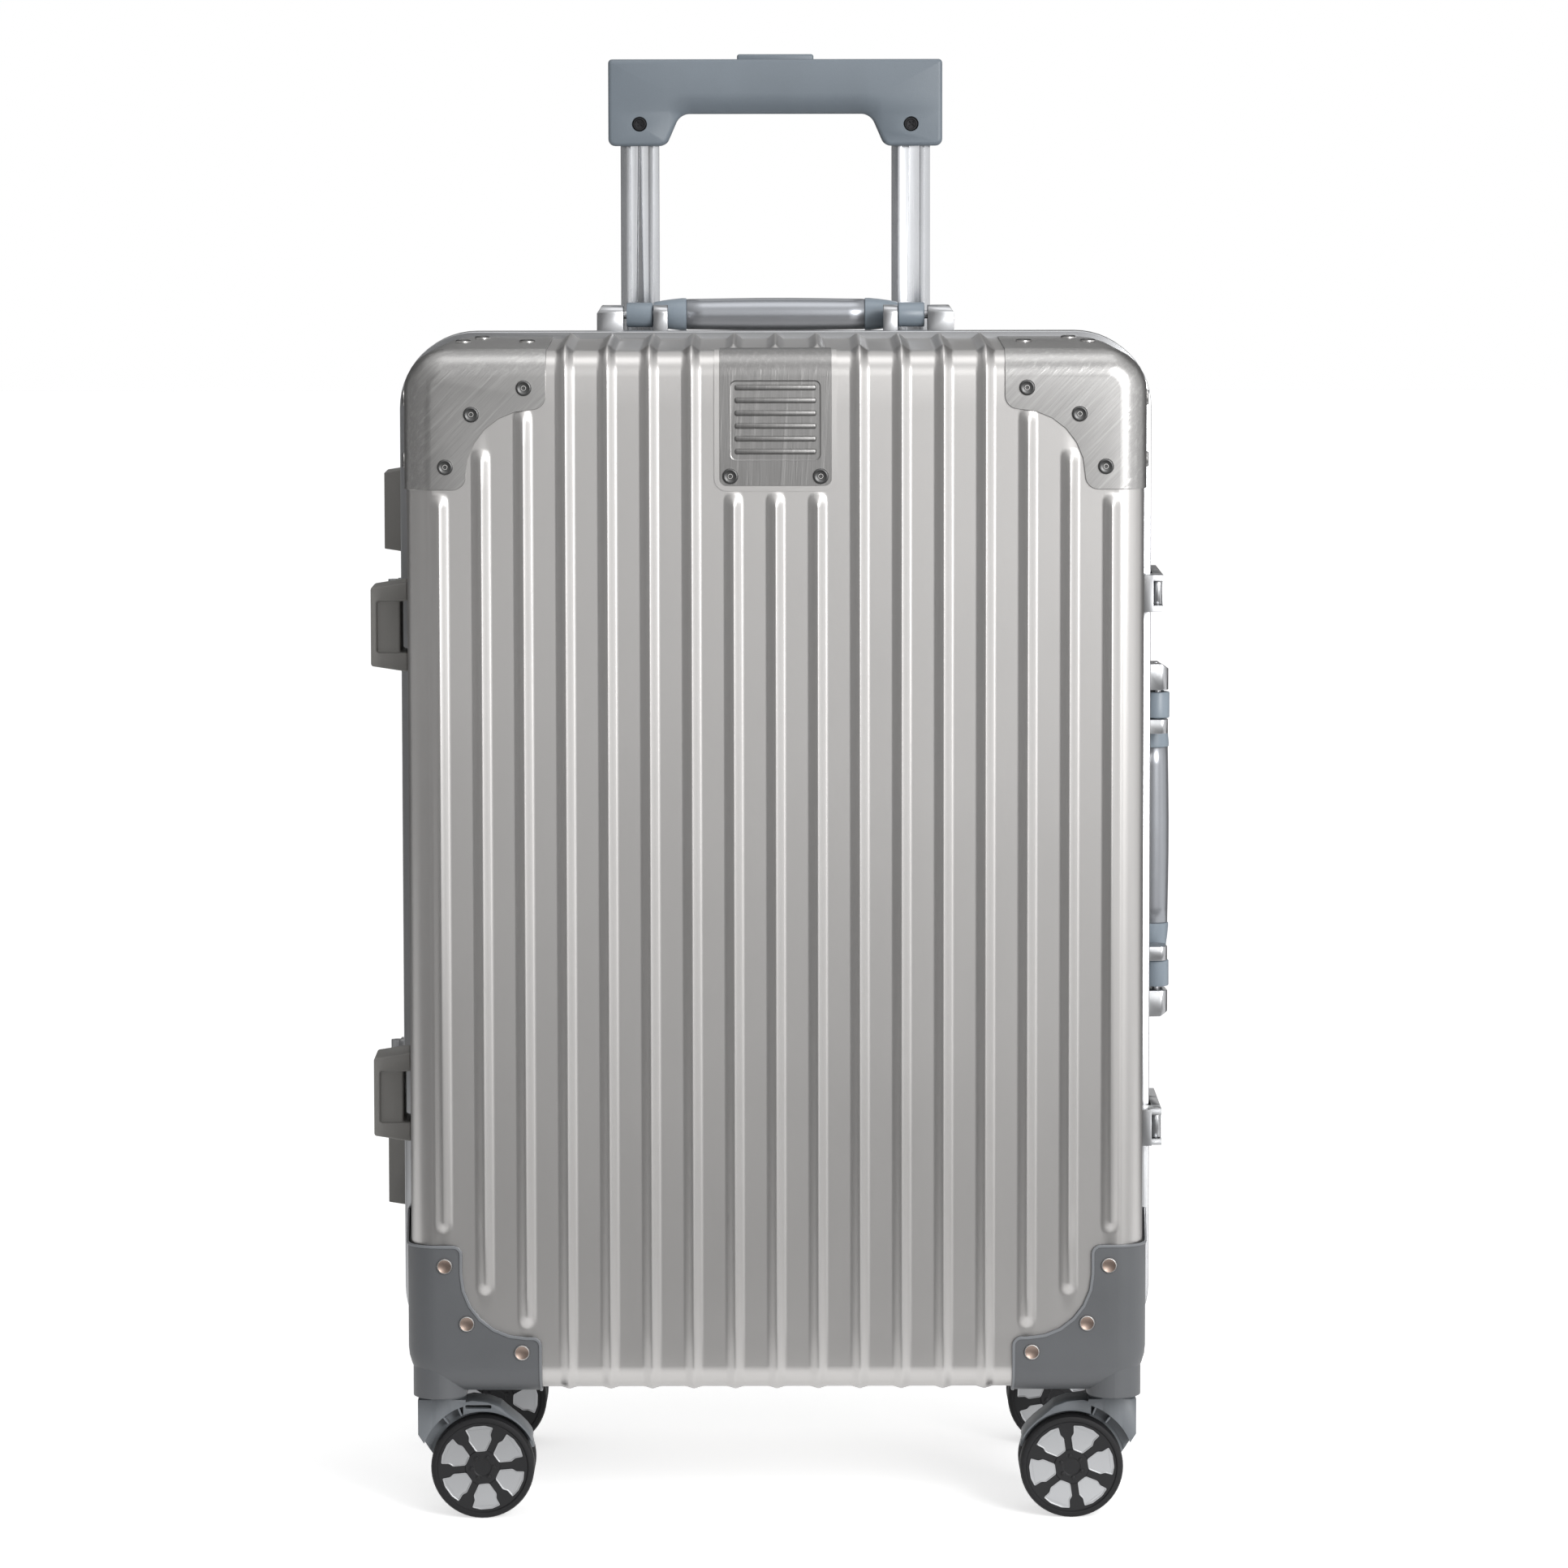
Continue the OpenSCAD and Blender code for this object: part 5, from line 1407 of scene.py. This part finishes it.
def lid_pocket():
    """A flat pocket panel with a bound edge and a zip along its top."""
    low, high = box("lid_pocket")
    outline = [(x, z, 0.02) for x, z in ((low.x, low.z), (high.x, low.z),
                                         (high.x, high.z), (low.x, high.z))]
    bm = outlined(outline, low.y + 0.0002, low.y + 0.0009, 6)
    face = [f for f in bm.faces if f.normal.y > 0.9]
    for width in (0.008, 0.0015):
        inset(bm, face, width)
    move(bm, shift(y=-0.0003), verts=list(face[0].verts))
    made = soft_edges(placed("lid_pocket_panel", bm, "pocket_weave"), 0.0002, 40)
    hand_over(made, "front_case", "lining", "lid_pocket")
    zip_ = bmesh.new()
    top = high.z - 0.03
    for n in range(64):
        x, z = -0.126 + 0.004 * n, top + 0.0006 * (n % 2)
        added(zip_, block((x, low.y + 0.0009, z - 0.0016),
                          (x + 0.0026, low.y + 0.0015, z + 0.001), 0.0002, 1))
    added(zip_, block((-0.128, low.y + 0.0007, top - 0.022),
                      (-0.121, low.y + 0.0015, top + 0.001), 0.0004, 2))
    teeth = smooth(placed("lid_pocket_zip", zip_, "steel_rod"), 40)
    hand_over(teeth, "front_case", "lining")


def packing_straps():
    """Two bands of webbing with stitched ends."""
    low, high = box("packing_straps")
    width = 0.025
    bm = bmesh.new()
    for z in (low.z + width / 2, high.z - width / 2):
        band = block((low.x, low.y + 0.0001, z - width / 2), (high.x, high.y - 0.0003,
                     z + width / 2), 0.0003, 1)
        for x in range(-8, 9):
            cut_across(band, "X", x * 0.02 + 0.001)
        for v in band.verts:
            v.co.y += 0.0001 * math.sin(v.co.x * 60)
        added(bm, band)
        for end in (-1, 1):
            for row in range(4):
                x = end * (high.x - 0.006 - 0.006 * row)
                stitch = block((x - 0.0004, low.y - 0.0001, z - 0.0105),
                               (x + 0.0004, low.y + 0.0004, z + 0.0105), 0.0002, 1)
                added(bm, stitch)
    made = smooth(placed("packing_strap_bands", bm, "strap_webbing"), 40)
    hand_over(made, "rear_case", "straps", "packing_straps")


class SUITCASE_OT_linings(bpy.types.Operator):
    """Lay the linings into the shells, with the zipped pocket and the packing straps"""
    bl_idname = "suitcase.linings"
    bl_label = "Linings And Straps"

    def execute(self, context):
        lining("front")
        lining("rear")
        lid_pocket()
        packing_straps()
        return {"FINISHED"}


# ---------- Fittings with their own shape from the frame ----------

# Finish, and the rounding of the edges of its nodes in mm
SOFTENED = (("frame_satin", {"front_frame": 0.5, "rear_frame": 0.5}),
            ("gasket_rubber", {"frame_seal": 0.15}),
            ("fittings_satin", {"front_hinge_leaves": 0.3, "rear_hinge_leaves": 0.3}),
            ("feet_moulded", {"front_feet": 1.2, "rear_feet": 1.2}),
            ("fittings_satin", {"latch_bodies": 0.5, "latch_pivots": 0.4,
                                "lower_latch_lever": 0.6, "upper_latch_lever": 0.6,
                                "top_handle_brackets": 0.6, "side_handle_brackets": 0.6}),
            ("tube_anodised", {"trolley_outer_tubes": 0.3, "trolley_mid_tubes": 0.3}),
            ("grip_moulded", {"trolley_bezel": 0.3}),
            ("guard_moulded", {"trolley_base": 0.8}),
            ("buckle_plastic", {"strap_buckles": 1.0}),
            ("steel_rod", {"release_rods": 0.2, "left_lock_pin": 0.2, "right_lock_pin": 0.2}))


class SUITCASE_OT_fittings(bpy.types.Operator):
    """Soften the edges of the frames, hinges, feet, latches, brackets and tubes"""
    bl_idname = "suitcase.fittings"
    bl_label = "Fittings"

    def execute(self, context):
        for material, nodes in SOFTENED:
            for node, width in nodes.items():
                made = placed(node + "_piece", copied(node), material)
                soft_edges(made, width * MM)
                hand_over(made, bodies()[node], slot_of(node), node)
        return {"FINISHED"}


OPERATORS = (SUITCASE_OT_stage, SUITCASE_OT_shells, SUITCASE_OT_guards, SUITCASE_OT_rivets,
             SUITCASE_OT_wheels, SUITCASE_OT_forks, SUITCASE_OT_trolley,
             SUITCASE_OT_handles, SUITCASE_OT_dials, SUITCASE_OT_linings,
             SUITCASE_OT_fittings)


# ---------- Panel and run ----------

class SUITCASE_PT_panel(bpy.types.Panel):
    """Lists the suitcase's operators"""
    bl_idname = "SUITCASE_PT_panel"
    bl_label = "Suitcase"
    bl_space_type = "VIEW_3D"
    bl_region_type = "UI"
    bl_category = "Suitcase"

    def draw(self, context):
        for operator in OPERATORS:
            self.layout.operator(operator.bl_idname)


SETTINGS = (SuitcaseSizes, SuitcaseColours)
CLASSES = (*SETTINGS, *OPERATORS, SUITCASE_PT_panel)


def register():
    for made in CLASSES:
        bpy.utils.register_class(made)
    bpy.types.Scene.suitcase_sizes = PointerProperty(type=SuitcaseSizes)
    bpy.types.Scene.suitcase_colours = PointerProperty(type=SuitcaseColours)


def unregister():
    del bpy.types.Scene.suitcase_colours
    del bpy.types.Scene.suitcase_sizes
    for made in reversed(CLASSES):
        bpy.utils.unregister_class(made)


def main():
    register()
    for operator in OPERATORS:
        group, call = operator.bl_idname.split(".")
        getattr(getattr(bpy.ops, group), call)()
        if operator is SUITCASE_OT_stage:
            make_finishes()


if __name__ == "__main__":
    main()
